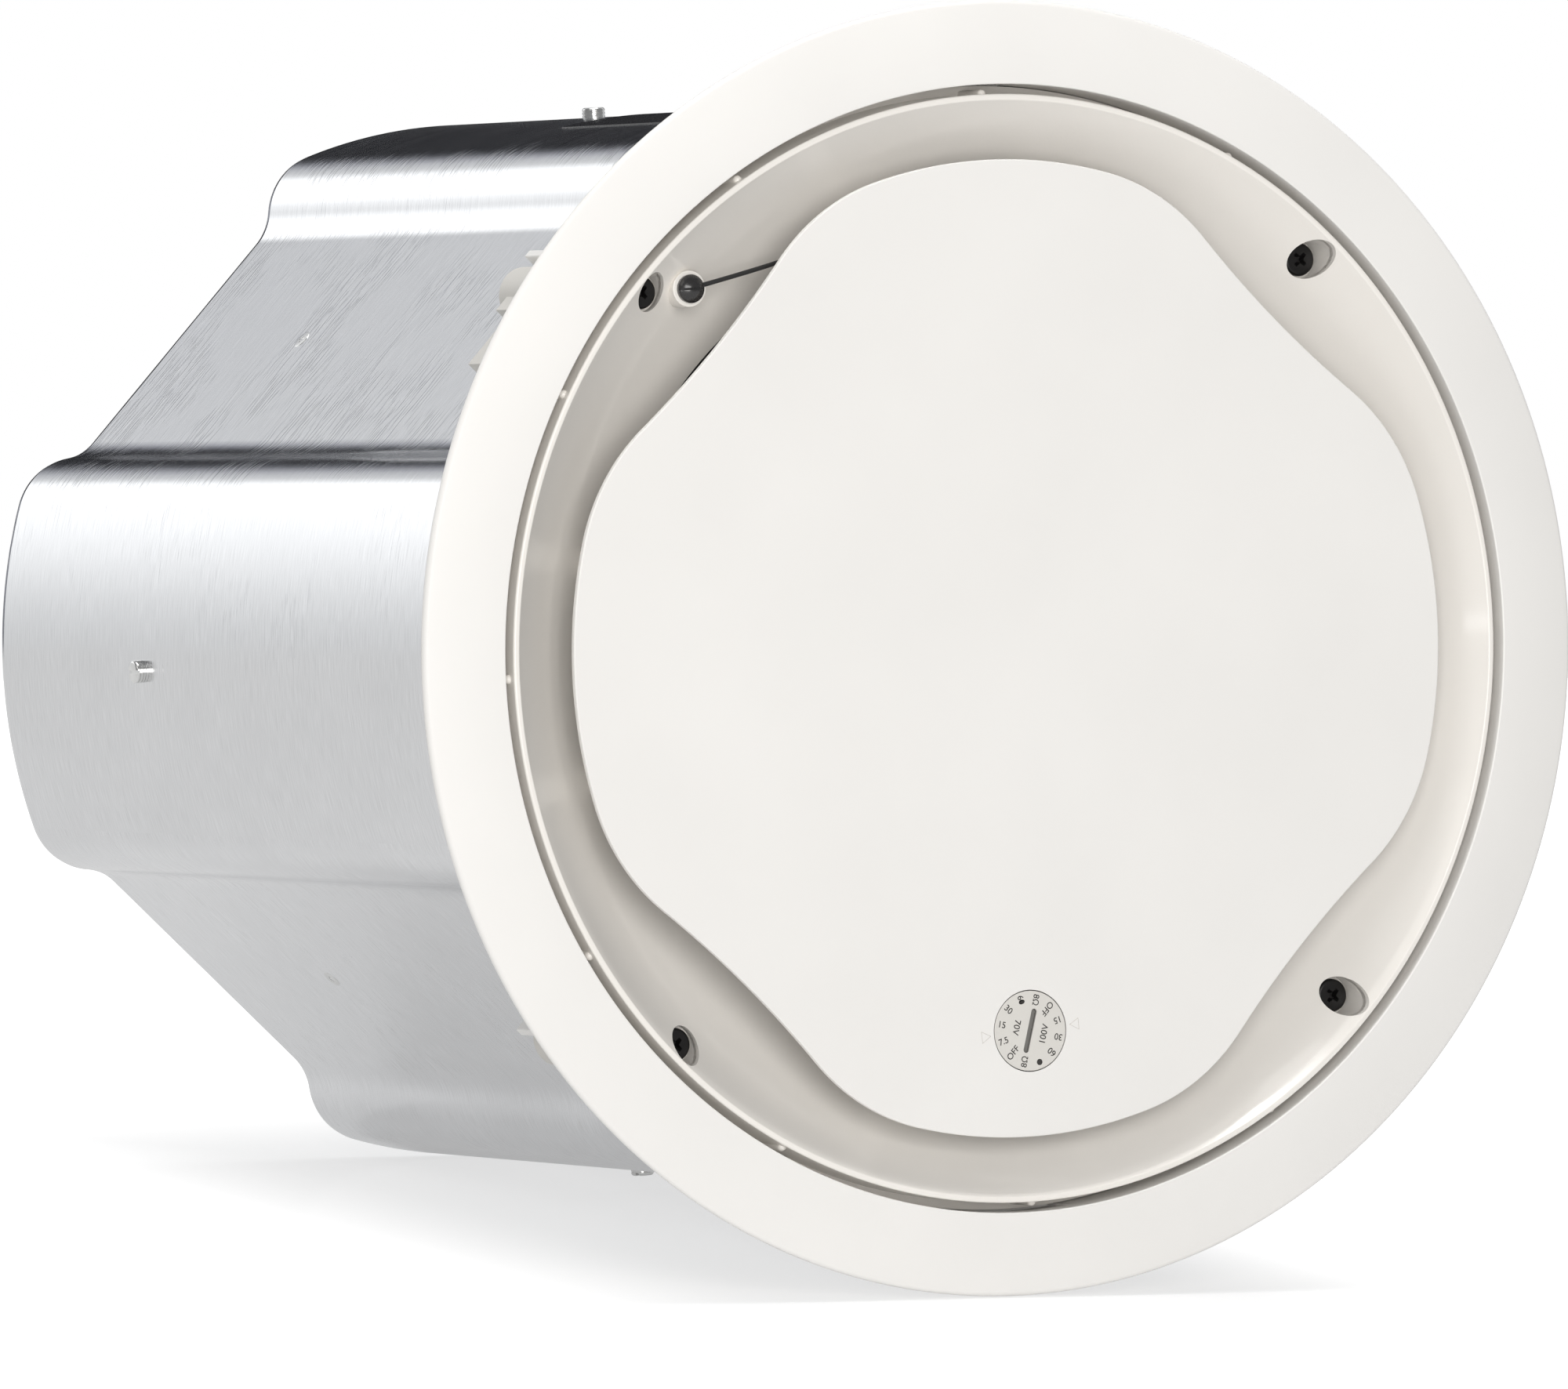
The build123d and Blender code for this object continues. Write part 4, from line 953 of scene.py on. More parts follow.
class Finishes:
    """The loudspeaker's finishes by what they cover."""

    MOULDING = MouldedPlastic("white_moulding", (0.86, 0.845, 0.82), 0.42)
    # Warmer than the bezel's moulding: partly the insert's own tone, partly painted warm bounce light standing in for
    # the shade in the dish.
    DISH = MouldedPlastic("dish_moulding", (0.885, 0.852, 0.803), 0.4, gloss=0.6)
    PLATE = MouldedPlastic("plate_white", (0.85, 0.835, 0.81), 0.5, grain=1.0)
    # The dial's slot and edge carry painted shade, darker with depth behind its face.
    DIAL = MouldedPlastic("dial_white", (0.70, 0.68, 0.64), 0.45, painted_shade_depth=(-6.7, -6.1))
    BLACK = MouldedPlastic("black_plastic", (0.014, 0.013, 0.013), 0.28, tint=1.4, gloss=0.6)
    CORD = Fibrous("black_cord", (0.012, 0.012, 0.012), 0.6, fibre=0.35, depth=0.05)
    BLACK_SCREW = BareMetal("black_screw", (0.018, 0.017, 0.017), 0.36, metallic=0.6)
    BRASS = BareMetal("brass_bush", (0.76, 0.58, 0.27), 0.28)
    BEIGE = MouldedPlastic("beige_moulding", (0.66, 0.64, 0.60), 0.5)
    ZINC = RolledSheet("zinc_steel", (0.80, 0.805, 0.815), 0.17)
    CAN = RolledSheet("zinc_steel", (0.80, 0.805, 0.815), 0.17, "_unrolled", unwrapped=True)
    BRIGHT = BareMetal("bright_screw", (0.80, 0.80, 0.79), 0.16)
    RIVET = BareMetal("rivet", (0.70, 0.70, 0.70), 0.3)
    HIDDEN = (
        BareMetal("motor_steel", (0.55, 0.56, 0.57), 0.35),
        BareMetal("core_steel", (0.30, 0.30, 0.31), 0.5, marks=0.4),
        Fibrous("coil_wrap", (0.42, 0.30, 0.10), 0.6, fibre=2.0),
        Fibrous("gasket_foam", (0.02, 0.02, 0.02), 0.9, fibre=1.5, depth=0.3),
        MouldedPlastic("frame_black", (0.02, 0.02, 0.021), 0.5, tint=1.3),
        MouldedPlastic("surround_rubber", (0.016, 0.016, 0.016), 0.62, tint=1.3),
        Fibrous("cone_paper", (0.03, 0.029, 0.028), 0.85, fibre=1.6),
        BareMetal("coil_copper", (0.78, 0.36, 0.18), 0.3, marks=0.3),
        Fibrous("spider_cloth", (0.45, 0.30, 0.12), 0.85, fibre=0.8),
        BareMetal("ferrite", (0.045, 0.045, 0.048), 0.55, metallic=0.3, marks=1.0),
    )


def printed(name: str, colour: Rgb) -> bpy.types.Material:
    """Ink of the printed marks, a little uneven.

    Args:
        name: Name of the material.
        colour: Linear colour.

    Returns:
        The material.
    """
    made = bpy.data.materials.new(name)
    made.use_nodes = True
    graph, shader = Graph(made.node_tree), made.node_tree.nodes["Principled BSDF"].inputs
    cover = graph.spread(graph.noise(graph.coordinates(), 2500, 3), 0, 1)
    paler = tuple(min(channel * 1.3 + 0.02, 1) for channel in colour)
    graph.fill(shader["Base Color"], graph.blend(cover, colour, paler))
    graph.fill(shader["Roughness"], graph.spread(cover, 0.5, 0.65))
    return made


# Front


@dataclass
class BezelRing:
    """Bezel, groove wall, collar, back flange and clamp towers, one moulding."""

    radius: float = 205.0
    front: float = -7.0
    groove: float = 178.4
    edge: float = 1.9
    edge_start: float = -78.0
    crown: float = 0.5
    skin: float = 2.7
    channel: Point = (183.7, 200.5)
    collar: float = 181.0
    flange: Point = (16.5, 19.5)
    opening: float = 152.8
    catch_width: float = 31.0
    catch_depth: float = 0.9
    catch_front: float = 2.0
    lip: float = 0.5
    ribs: int = 24
    rib_thickness: float = 1.8

    def face(self, radius: float) -> float:
        """Height of the bezel's face, less its crown.

        Args:
            radius: Distance from the axis.

        Returns:
            The height.
        """
        end = Vector((self.radius - self.edge, -self.edge)) + polar(self.edge, self.edge_start)
        return self.front + (radius - self.groove) * (end.y - self.front) / (end.x - self.groove)

    def section(self, recess: float) -> list[Point]:
        """Closed section of the ring.

        Args:
            recess: Depth of the catch recess in the groove's wall there.

        Returns:
            Its (radius, height) points.
        """
        edge_centre = Vector((self.radius - self.edge, -self.edge))
        start = edge_centre + polar(self.edge, self.edge_start)
        first = Vector((self.groove + self.lip, self.front))
        face = []
        for step in range(13):
            share = step / 12
            spot = first.lerp(start, share)
            face.append((spot.x, spot.y - self.crown * 4 * share * (1 - share)))
        inner, outer = self.channel
        back = [
            (outer, 0),
            (outer, self.face(outer) + self.skin),
            (inner, self.face(inner) + self.skin),
            (inner, 0),
            (self.collar, 0),
            (self.collar, self.flange[1]),
            (self.opening, self.flange[1]),
            (self.opening, self.flange[0]),
            (self.groove + recess, self.flange[0]),
            (self.groove + recess, self.catch_front),
            (self.groove, self.catch_front),
        ]
        lip = arc((self.groove + self.lip, self.front + self.lip), self.lip, 180, 270, 4)
        return face + arc(tuple(edge_centre), self.edge, self.edge_start, 90, 10)[1:] + back + lip[:-1]

    def stations(self) -> list[tuple[float, list[Point]]]:
        """Sections round the ring, doubled at the ends of each catch recess.

        Returns:
            Angle and section of each station.
        """
        half = math.degrees(math.asin(self.catch_width / 2 / self.groove))
        plain, cut = self.section(0.0), self.section(self.catch_depth)
        made = {}
        for n in range(SEGMENTS):
            angle = 360 * n / SEGMENTS
            away = abs((angle + 45) % 90 - 45)
            made[angle] = cut if away < half else plain
        for quarter in range(QUARTERS):
            for side in (-1, 1):
                made[(90 * quarter + side * half) % 360] = cut
                made[(90 * quarter + side * (half + 0.03)) % 360] = plain
        return sorted(made.items())

    def tower(self) -> bpy.types.Mesh:
        """Guide wall and stop wall beside a clamp, in the clamp's own frame.

        Returns:
            The mesh.
        """
        corners = ((-12.5, -8, 0.5), (-9.7, -8, 0.5), (-9.7, 9.7, 0.6), (8, 9.7, 0.5), (8, 12.5, 0.5), (-12.5, 12.5, 0.8))
        return slab("tower", [rounded(corners)], self.flange[1] - 0.5, 92.0, 0.35)

    def rib(self) -> bpy.types.Mesh:
        """Rib across the hollow behind the face, on the X axis.

        Returns:
            The mesh.
        """
        inner, outer = self.channel
        half = self.rib_thickness / 2
        mesh = block("rib", (inner - 1, outer + 1), (-half, half), (self.face(inner) + 1, -0.05))
        for vertex in mesh.vertices:
            if vertex.co.x > (inner + outer) / 2 * MM and vertex.co.z < -1 * MM:
                vertex.co.z = (self.face(outer) + 1) * MM
        return mesh

    def build(self, repeater: RingRepeater) -> None:
        """Makes the ring and hangs it on its body.

        Args:
            repeater: Maker of repeats.
        """
        coat = Finishes.MOULDING.material()
        ring = shown("bezel", swept("bezel", self.stations()))
        repeater.repeat(ring, self.rib(), Ring(self.ribs, 0, 7.5, 360 / self.ribs), coat)
        repeater.repeat(ring, self.tower(), Ring(QUARTERS, Clamp.CIRCLE, 45, 90), coat)
        adopt(ring, "speaker", Finishes.MOULDING.slot, "bezel_ring")


@dataclass
class Dish:
    """Rim, flared dish, groove floor and screw pockets, one moulding."""

    rim: Point = (173.5, 175.3)
    rim_front: float = -6.34
    rim_round: float = 0.75
    centre: Point = (109.4725, -55.0031)
    sweep: float = 80.4088
    throat: float = 132.0
    seat: Point = (147.5, 25.0)
    wall: float = 2.6
    lip: float = 178.1
    groove_floor: float = 11.0
    back: float = 16.5
    pocket: float = 6.2
    pocket_floor: float = 10.8
    pocket_sides: int = 64
    sleeve_radius: float = 8.2
    screw_hole: float = 2.8
    stops: int = 12
    stop_radius: float = 1.5
    stop_front: float = -2.1

    def height(self, radius: float, behind: float = 0.0) -> float:
        """Height of the dish's face, or of a surface behind it.

        Args:
            radius: Distance from the axis.
            behind: How far behind the face.

        Returns:
            The height.
        """
        return self.centre[1] + math.sqrt((self.sweep + behind) ** 2 - (radius - self.centre[0]) ** 2)

    def curve(self, start: float, end: float, behind: float, steps: int) -> list[Point]:
        """Points on the flare between two radii.

        Args:
            start: First radius.
            end: Last radius.
            behind: How far behind the face.
            steps: Number of divisions.

        Returns:
            The (radius, height) points.
        """
        ends = [Vector((radius, self.height(radius, behind))) for radius in (start, end)]
        return arc_between(Vector(self.centre), *ends, steps)

    def section(self) -> list[Point]:
        """Closed section of the dish.

        Returns:
            Its (radius, height) points.
        """
        inner, outer = self.rim
        seat_radius, seat_height = self.seat
        points = self.curve(inner, self.throat, 0.0, 56)[1:]
        points += [(self.throat, seat_height), (seat_radius, seat_height)]
        points += self.curve(seat_radius, inner, self.wall, 20)
        points += [(inner, self.back), (self.lip, self.back), (self.lip, self.groove_floor)]
        corners = [(outer, self.groove_floor, 0.0), (outer, self.rim_front, self.rim_round)]
        corners += [(inner, self.rim_front, self.rim_round), (*points[0], 0.0)]
        return points + rounded(corners, 6)[:-1]

    def sleeve(self, index: int) -> bpy.types.Mesh:
        """Wall and floor of a screw pocket behind the dish's face.

        Args:
            index: Which corner, from 0.

        Returns:
            The mesh.
        """
        middle = polar(Clamp.CIRCLE, 45 + 90 * index)
        stations = []
        for n in range(self.pocket_sides):
            angle = 360 * n / self.pocket_sides
            reaches = [(middle + polar(radius, angle)).length for radius in (self.pocket, self.sleeve_radius)]
            inner, outer = (max(self.height(reach, self.wall / 2), self.rim_front + self.wall) for reach in reaches)
            section = [(self.pocket, inner), (self.pocket, self.pocket_floor), (self.screw_hole, self.pocket_floor)]
            section += [(self.screw_hole, self.back), (self.sleeve_radius, self.back), (self.sleeve_radius, outer)]
            stations.append((angle, section))
        mesh = swept("sleeve", stations)
        mesh.transform(Matrix.Translation((middle.x * MM, middle.y * MM, 0)))
        return mesh

    def bosses(self) -> list[bpy.types.Mesh]:
        """Feet of the plate's posts and the button's ring boss.

        Returns:
            The meshes.
        """
        made = []
        for place in DeflectorPlate.post_places():
            foot = [(0, 17.4), (5.2, 17.4), (5.5, 17.7), (5.5, 22.4), (0, 22.4)]
            made.append(lathe("foot", foot, place, 48))
        boss = [(0, 4.0), (5.3, 4.0), (5.65, 4.15), (5.8, 4.5), (5.8, 12.4), (0, 12.4)]
        return made + [lathe("boss", boss, Lanyard.BUTTON, 64)]

    def pockets(self) -> bpy.types.Mesh:
        """What is cut away for the clamp screws' heads and shanks.

        Returns:
            The mesh.
        """
        outline = [(0, -12), (self.pocket, -12), (self.pocket, self.pocket_floor)]
        outline += [(self.screw_hole, self.pocket_floor), (self.screw_hole, self.back + 1), (0, self.back + 1)]
        places = [tuple(polar(Clamp.CIRCLE, 45 + 90 * n)) for n in range(QUARTERS)]
        tools = [lathe("pocket", outline, place, self.pocket_sides) for place in places]
        return joined("pockets", tools)

    def stop(self) -> bpy.types.Mesh:
        """Half-round grip rib with a domed end, at the origin.

        Returns:
            The mesh.
        """
        outline = arc((0, self.stop_front), self.stop_radius, -90, 0, 8)
        outline += [(self.stop_radius, self.groove_floor + 0.5), (0, self.groove_floor + 0.5)]
        return lathe("stop", outline, segments=32)

    def build(self, repeater: RingRepeater) -> None:
        """Makes the dish and hangs it on its body.

        Args:
            repeater: Maker of repeats.
        """
        body = lathe("dish", self.section(), closed=True)
        body = combine(body, self.pockets(), Cut.REMOVE)
        sleeves = [self.sleeve(index) for index in range(QUARTERS)]
        dish = shown("flared_dish", joined("flared_dish", [body, *sleeves, *self.bosses()]))
        stops = Ring(self.stops, self.rim[1], 0, 360 / self.stops)
        repeater.repeat(dish, self.stop(), stops, Finishes.DISH.material())
        adopt(dish, "speaker", Finishes.DISH.slot, "dish")


@dataclass
class DeflectorPlate:
    """Flat lobed plate on eight posts, with its printed pointers."""

    lobe: float = 154.6
    shoulder: float = 68.0
    valley: float = 363.0
    waist: float = 141.2
    front: float = -6.75
    back: float = -4.55
    edge: float = 0.5
    hole: float = 13.0
    anchor: Point = (51.907, 130.449)

    @staticmethod
    def post_places() -> list[Point]:
        """Where the posts stand.

        Returns:
            Their places.
        """
        return [tuple(polar(138.0, 90 * n + side * 14.0)) for n in range(QUARTERS) for side in (-1, 1)]

    def outline(self) -> list[Point]:
        """Outline of the plate, whose valleys meet on the diagonals.

        Returns:
            Its points.
        """
        near, far = self.lobe - self.shoulder, self.waist + self.valley
        reach = self.shoulder + self.valley
        spread = math.degrees(math.acos((near**2 + far**2 - reach**2) / (2 * near * far)))
        return lobed_outline(self.lobe, self.shoulder, self.valley, self.waist, 45 - spread, 24)

    def post(self) -> bpy.types.Mesh:
        """Post with its peg, at the origin.

        Returns:
            The mesh.
        """
        outline = [(0, self.back - 0.5), (4, self.back - 0.5), (4, 17.1), (3.7, 17.4), (2.4, 17.4), (2.4, 21.6)]
        return lathe("post", outline + [(2.1, 21.9), (0, 21.9)], segments=48)

    def pointer(self, corners: Sequence[Point]) -> bpy.types.Mesh:
        """Thin printed triangle beside the dial.

        Args:
            corners: Its corners right of and above the dial's centre, as a reader sees them.

        Returns:
            The mesh.
        """
        middle = sum((Vector(corner) for corner in corners), Vector((0, 0))) / len(corners)
        inner = [middle + (Vector(corner) - middle) * 0.86 for corner in corners]
        outlines = [[(TapSelector.CENTRE[0] - x, TapSelector.CENTRE[1] + y) for x, y in ring] for ring in (corners, inner)]
        return slab("pointer", outlines, self.front - 0.03, self.front + 0.05)

    def build(self, repeater: RingRepeater) -> None:
        """Makes the plate and its marks and hangs them on their body.

        Args:
            repeater: Maker of repeats.
        """
        blank = slab("plate", [self.outline()], self.front, self.back, self.edge)
        bore = [(0, -9), (self.hole, -9), (self.hole, 0), (0, 0)]
        blank = combine(blank, lathe("bore", bore, TapSelector.CENTRE, 128), Cut.REMOVE)
        peg = [(0, self.back - 0.5), (2.5, self.back - 0.5), (2.5, 6.25), (2.3, 6.45), (0, 6.45)]
        plate = shown("plate", joined("plate", [blank, lathe("peg", peg, self.anchor, 48)]))
        posts = Ring(8, 138.0, 0, 90, 2, 14.0)
        repeater.repeat(plate, self.post(), posts, Finishes.PLATE.material())
        adopt(plate, "speaker", Finishes.PLATE.slot, "deflector_plate")
        left = ((-17.5, 0.9), (-17.2, -3.0), (-14.0, -0.8))
        right = ((17.4, 3.1), (17.6, -0.8), (14.1, 1.1))
        marks = shown("plate_pointers", joined("pointers", [self.pointer(left), self.pointer(right)]))
        marks.data.materials.append(printed("pointer_ink", (0.52, 0.49, 0.46)))
        adopt(marks, "speaker", None)


@dataclass
class TapSelector:
    """Slotted dial in the plate, printed with its taps."""

    CENTRE = (0.0, -121.1)
    LABELS = ("8Ω", "OFF", "15", "30", "60", "●", "8Ω", "OFF", "7.5", "15", "30", "60")
    radius: float = 12.7
    front: float = -6.75
    back: float = -4.75
    turn: float = 16.0
    slot: tuple[float, float, float] = (14.3, 1.9, 1.3)
    first_label: float = 76.0
    label_start: float = 11.8
    range_start: float = 5.05
    letter: float = 2.05
    spindle: Point = (3.0, 2.25)

    def place(self, right: float, up: float, turn: float) -> Matrix:
        """Matrix that lays print on the dial's face.

        Args:
            right: How far right of the centre a reader sees it.
            up: How far above the centre.
            turn: Counter-clockwise turn as a reader sees it, in degrees.

        Returns:
            The matrix, in metres.
        """
        spot = Vector((self.CENTRE[0] - right, self.CENTRE[1] + up, self.front)) * MM
        facing = Matrix.Rotation(math.pi, 4, "Y")
        return Matrix.Translation(spot) @ facing @ Matrix.Rotation(math.radians(turn), 4, "Z")

    def lettering(self, words: str, size: float, align: str) -> bpy.types.Mesh:
        """Flat lettering in the XY plane.

        Args:
            words: What it says.
            size: Height of its capitals.
            align: LEFT or CENTER.

        Returns:
            The mesh.
        """
        text = bpy.data.curves.new("print", "FONT")
        text.body = words
        text.size = size * MM / 0.7
        text.align_x = align
        text.align_y = "CENTER"
        text.extrude = 0.02 * MM
        text.offset = 0.025 * MM
        holder = bpy.data.objects.new("print", text)
        mesh = bpy.data.meshes.new_from_object(holder)
        bpy.data.objects.remove(holder)
        bpy.data.curves.remove(text)
        return mesh

    def dot(self) -> bpy.types.Mesh:
        """Round mark that stands for a blocked place of the dial.

        Returns:
            The mesh.
        """
        return lathe("dot", [(0, -0.02), (1.0, -0.02), (1.0, 0.02), (0, 0.02)], segments=32)

    def filled_figure(self) -> bpy.types.Mesh:
        """Ink that fills the nought of the last label.

        Returns:
            The mesh.
        """
        mesh = self.dot()
        mesh.transform(Matrix.Diagonal((0.65, 0.9, 1, 1)))
        angle = self.first_label + 30
        spot = polar(self.label_start - self.letter, angle)
        mesh.transform(self.place(spot.x, spot.y, angle + 180))
        return mesh

    def marks(self) -> list[bpy.types.Mesh]:
        """All the print on the dial.

        Returns:
            The meshes.
        """
        made = []
        for index, words in enumerate(self.LABELS):
            angle = self.first_label - 30 * index
            if words == "●":
                mesh = self.dot()
                spot = polar(self.label_start - 1.3, angle)
            else:
                mesh = self.lettering(words, self.letter, "LEFT")
                spot = polar(self.label_start, angle)
            mesh.transform(self.place(spot.x, spot.y, angle + 180))
            made.append(mesh)
        made.append(self.filled_figure())
        for words, side in (("70V", -1), ("100V", 1)):
            mesh = self.lettering(words, self.letter * 1.05, "CENTER")
            spot = polar(self.range_start, -self.turn if side > 0 else 180 - self.turn)
            mesh.transform(self.place(spot.x, spot.y, 90 * side - self.turn))
            made.append(mesh)
        return made

    def build(self) -> None:
        """Makes the dial and its print and hangs them on their body."""
        outline = rounded(
            [
                (0, self.front, 0),
                (self.radius, self.front, 0.18),
                (self.radius, self.back, 0.18),
                (self.spindle[0], self.back, 0),
                (self.spindle[0], self.spindle[1], 0.3),
                (0, self.spindle[1], 0),
            ]
        )
        disc = lathe("dial", outline, segments=128)
        length, width, depth = self.slot
        end = (length - width) / 2
        outline = arc((0, end), width / 2, 0, 180, 16) + arc((0, -end), width / 2, 180, 360, 16)
        tool = slab("slot", [outline], self.front - 1, self.front + depth)
        tool.transform(Matrix.Rotation(math.radians(self.turn), 4, "Z"))
        disc = combine(disc, tool, Cut.REMOVE)
        disc.transform(Matrix.Translation((self.CENTRE[0] * MM, self.CENTRE[1] * MM, 0)))
        dial = shown("dial", disc)
        dial.data.materials.clear()
        dial.data.materials.append(Finishes.DIAL.material())
        adopt(dial, "tap_dial", Finishes.DIAL.slot, "tap_dial")
        print_piece = shown("dial_print", joined("dial_print", self.marks()))
        print_piece.data.materials.append(printed("dial_ink", (0.02, 0.017, 0.015)))
        adopt(print_piece, "tap_dial", None)


@dataclass
class Lanyard:
    """Push rivet in the dish and the cord from it to the plate's anchor."""

    BUTTON = (103.002, 118.493)
    ANCHOR = (51.907, 130.449)
    seat: float = 4.0
    collar_front: float = 2.4
    radius: float = 4.5
    dome: float = 2.0
    slot: float = 0.7
    cord_radius: float = 0.75
    start_gap: float = 4.0
    end_gap: float = 2.0
    sag: float = 0.35

    def button(self) -> bpy.types.Mesh:
        """Slotted two-part rivet.

        Returns:
            The mesh.
        """
        ball = (self.radius**2 + self.dome**2) / (2 * self.dome)
        reach = math.degrees(math.asin(self.radius / ball))
        cap = arc((0, self.collar_front - self.dome + ball), ball, -90, reach - 90, 16)[:-1]
        step = rounded(
            [
                (self.radius - 0.15, self.collar_front - 0.05, 0),
                (self.radius - 0.25, self.collar_front + 0.12, 0),
                (self.radius, self.collar_front + 0.3, 0.1),
                (self.radius, self.seat, 0.1),
                (1.8, self.seat, 0),
                (1.8, self.seat + 4, 0.3),
                (0, self.seat + 4, 0),
            ]
        )
        body = lathe("button", cap + step, segments=96)
        half = self.slot / 2
        tip = self.collar_front - self.dome
        tool = block("groove", (-6, 6), (-half, half), (tip - 1, tip + self.dome / 2))
        body = combine(body, tool, Cut.REMOVE)
        body.transform(Matrix.Translation((self.BUTTON[0] * MM, self.BUTTON[1] * MM, 0)))
        return body

    def cord(self) -> tuple[bpy.types.Object, Vector, float]:
        """Taut cord as a smooth curve.

        Returns:
            The curve object, its start in metres, and its length in metres.
        """
        height = (self.seat + self.collar_front) / 2
        start, end = Vector((*self.BUTTON, height)), Vector((*self.ANCHOR, height))
        way = (end - start).normalized()
        start += way * self.start_gap
        end -= way * self.end_gap
        side = Vector((-way.y, way.x, 0)) * self.sag
        route = [start, start.lerp(end, 0.3) + side, start.lerp(end, 0.7) + side, end]
        curve = bpy.data.curves.new("lanyard_cord", "CURVE")
        curve.dimensions = "3D"
        curve.bevel_depth = self.cord_radius * MM
        curve.bevel_resolution = 6
        curve.use_fill_caps = True
        spline = curve.splines.new("NURBS")
        spline.points.add(len(route) - 1)
        for target, spot in zip(spline.points, route):
            target.co = (*(spot * MM), 1)
        spline.order_u = 3
        spline.use_endpoint_u = True
        spline.resolution_u = 12
        thing = bpy.data.objects.new("lanyard_cord", curve)
        bpy.context.scene.collection.objects.link(thing)
        return thing, start * MM, (end - start).length * MM

    def build(self) -> None:
        """Makes the rivet and the cord and hangs them on their body."""
        rivet = shown("push_rivet", self.button())
        rivet.data.materials.clear()
        rivet.data.materials.append(Finishes.BLACK.material())
        adopt(rivet, "speaker", Finishes.BLACK.slot, "lanyard_button")
        cord, start, length = self.cord()
        cord.data.materials.append(Finishes.CORD.material())
        adopt(cord, "speaker", Finishes.CORD.slot, "lanyard")


# Fasteners


class Drive(Enum):
    """Recess in a screw's head."""

    SLOT = "slot"
    CROSS = "cross"


@dataclass(frozen=True)
class ScrewHead:
    """Head of a screw whose face points to +Z, with its seat at the origin.

    Attributes:
        radius: Radius of the head.
        height: Height of the head.
        dome: How much of the height is domed.
        drive: Recess in its face.
        depth: Depth of the recess.
        shank: Radius of the shank.
        reach: Length of the shank below the seat.
        grooves: Heights of the turned grooves in its side.
    """

    radius: float
    height: float
    dome: float
    drive: Drive
    depth: float
    shank: float
    reach: float
    grooves: tuple[float, ...] = ()

    def face(self) -> list[Point]:
        """Section of the head's face and side.

        Returns:
            Its (radius, height) points from the axis to the seat.
        """
        edge = arc((self.radius - self.dome, self.height - self.dome), self.dome, 90, 0, 8)
        for middle in self.grooves:
            edge += [(self.radius, middle + 0.14), (self.radius - 0.3, middle + 0.1)]
            edge += [(self.radius - 0.3, middle - 0.1), (self.radius, middle - 0.14)]
        return [(0, self.height)] + edge + [(self.radius, 0.12), (self.radius - 0.12, 0)]

    def recess(self) -> bpy.types.Mesh:
        """What is cut from the face.

        Returns:
            The mesh.
        """
        bottom, top = self.height - self.depth, self.height + 1
        if self.drive is Drive.SLOT:
            return block("recess", (-self.radius - 1, self.radius + 1), (-0.55, 0.55), (bottom, top))
        arm, half = self.radius * 0.58, self.radius * 0.13
        web = half * 1.5
        corners = []
        for quarter in range(QUARTERS):
            turn = Matrix.Rotation(math.radians(90 * quarter), 2)
            for x, y in ((web, -web), (arm, -half), (arm, half)):
                corners.append((*(turn @ Vector((x, y))), 0.0))
        mesh = slab("recess", [rounded(corners)], bottom, top)
        for vertex in mesh.vertices:
            if vertex.co.z < (bottom + 0.1) * MM:
                vertex.co.x *= 0.45
                vertex.co.y *= 0.45
        return mesh

    def mesh(self, name: str) -> bpy.types.Mesh:
        """The whole screw.

        Args:
            name: Name of the mesh.

        Returns:
            The mesh.
        """
        outline = self.face() + [(self.shank, 0), (self.shank, -self.reach + 0.3), (self.shank - 0.3, -self.reach)]
        body = lathe(name, outline + [(0, -self.reach)], segments=64)
        made = combine(body, self.recess(), Cut.REMOVE)
        made.materials.clear()
        return made


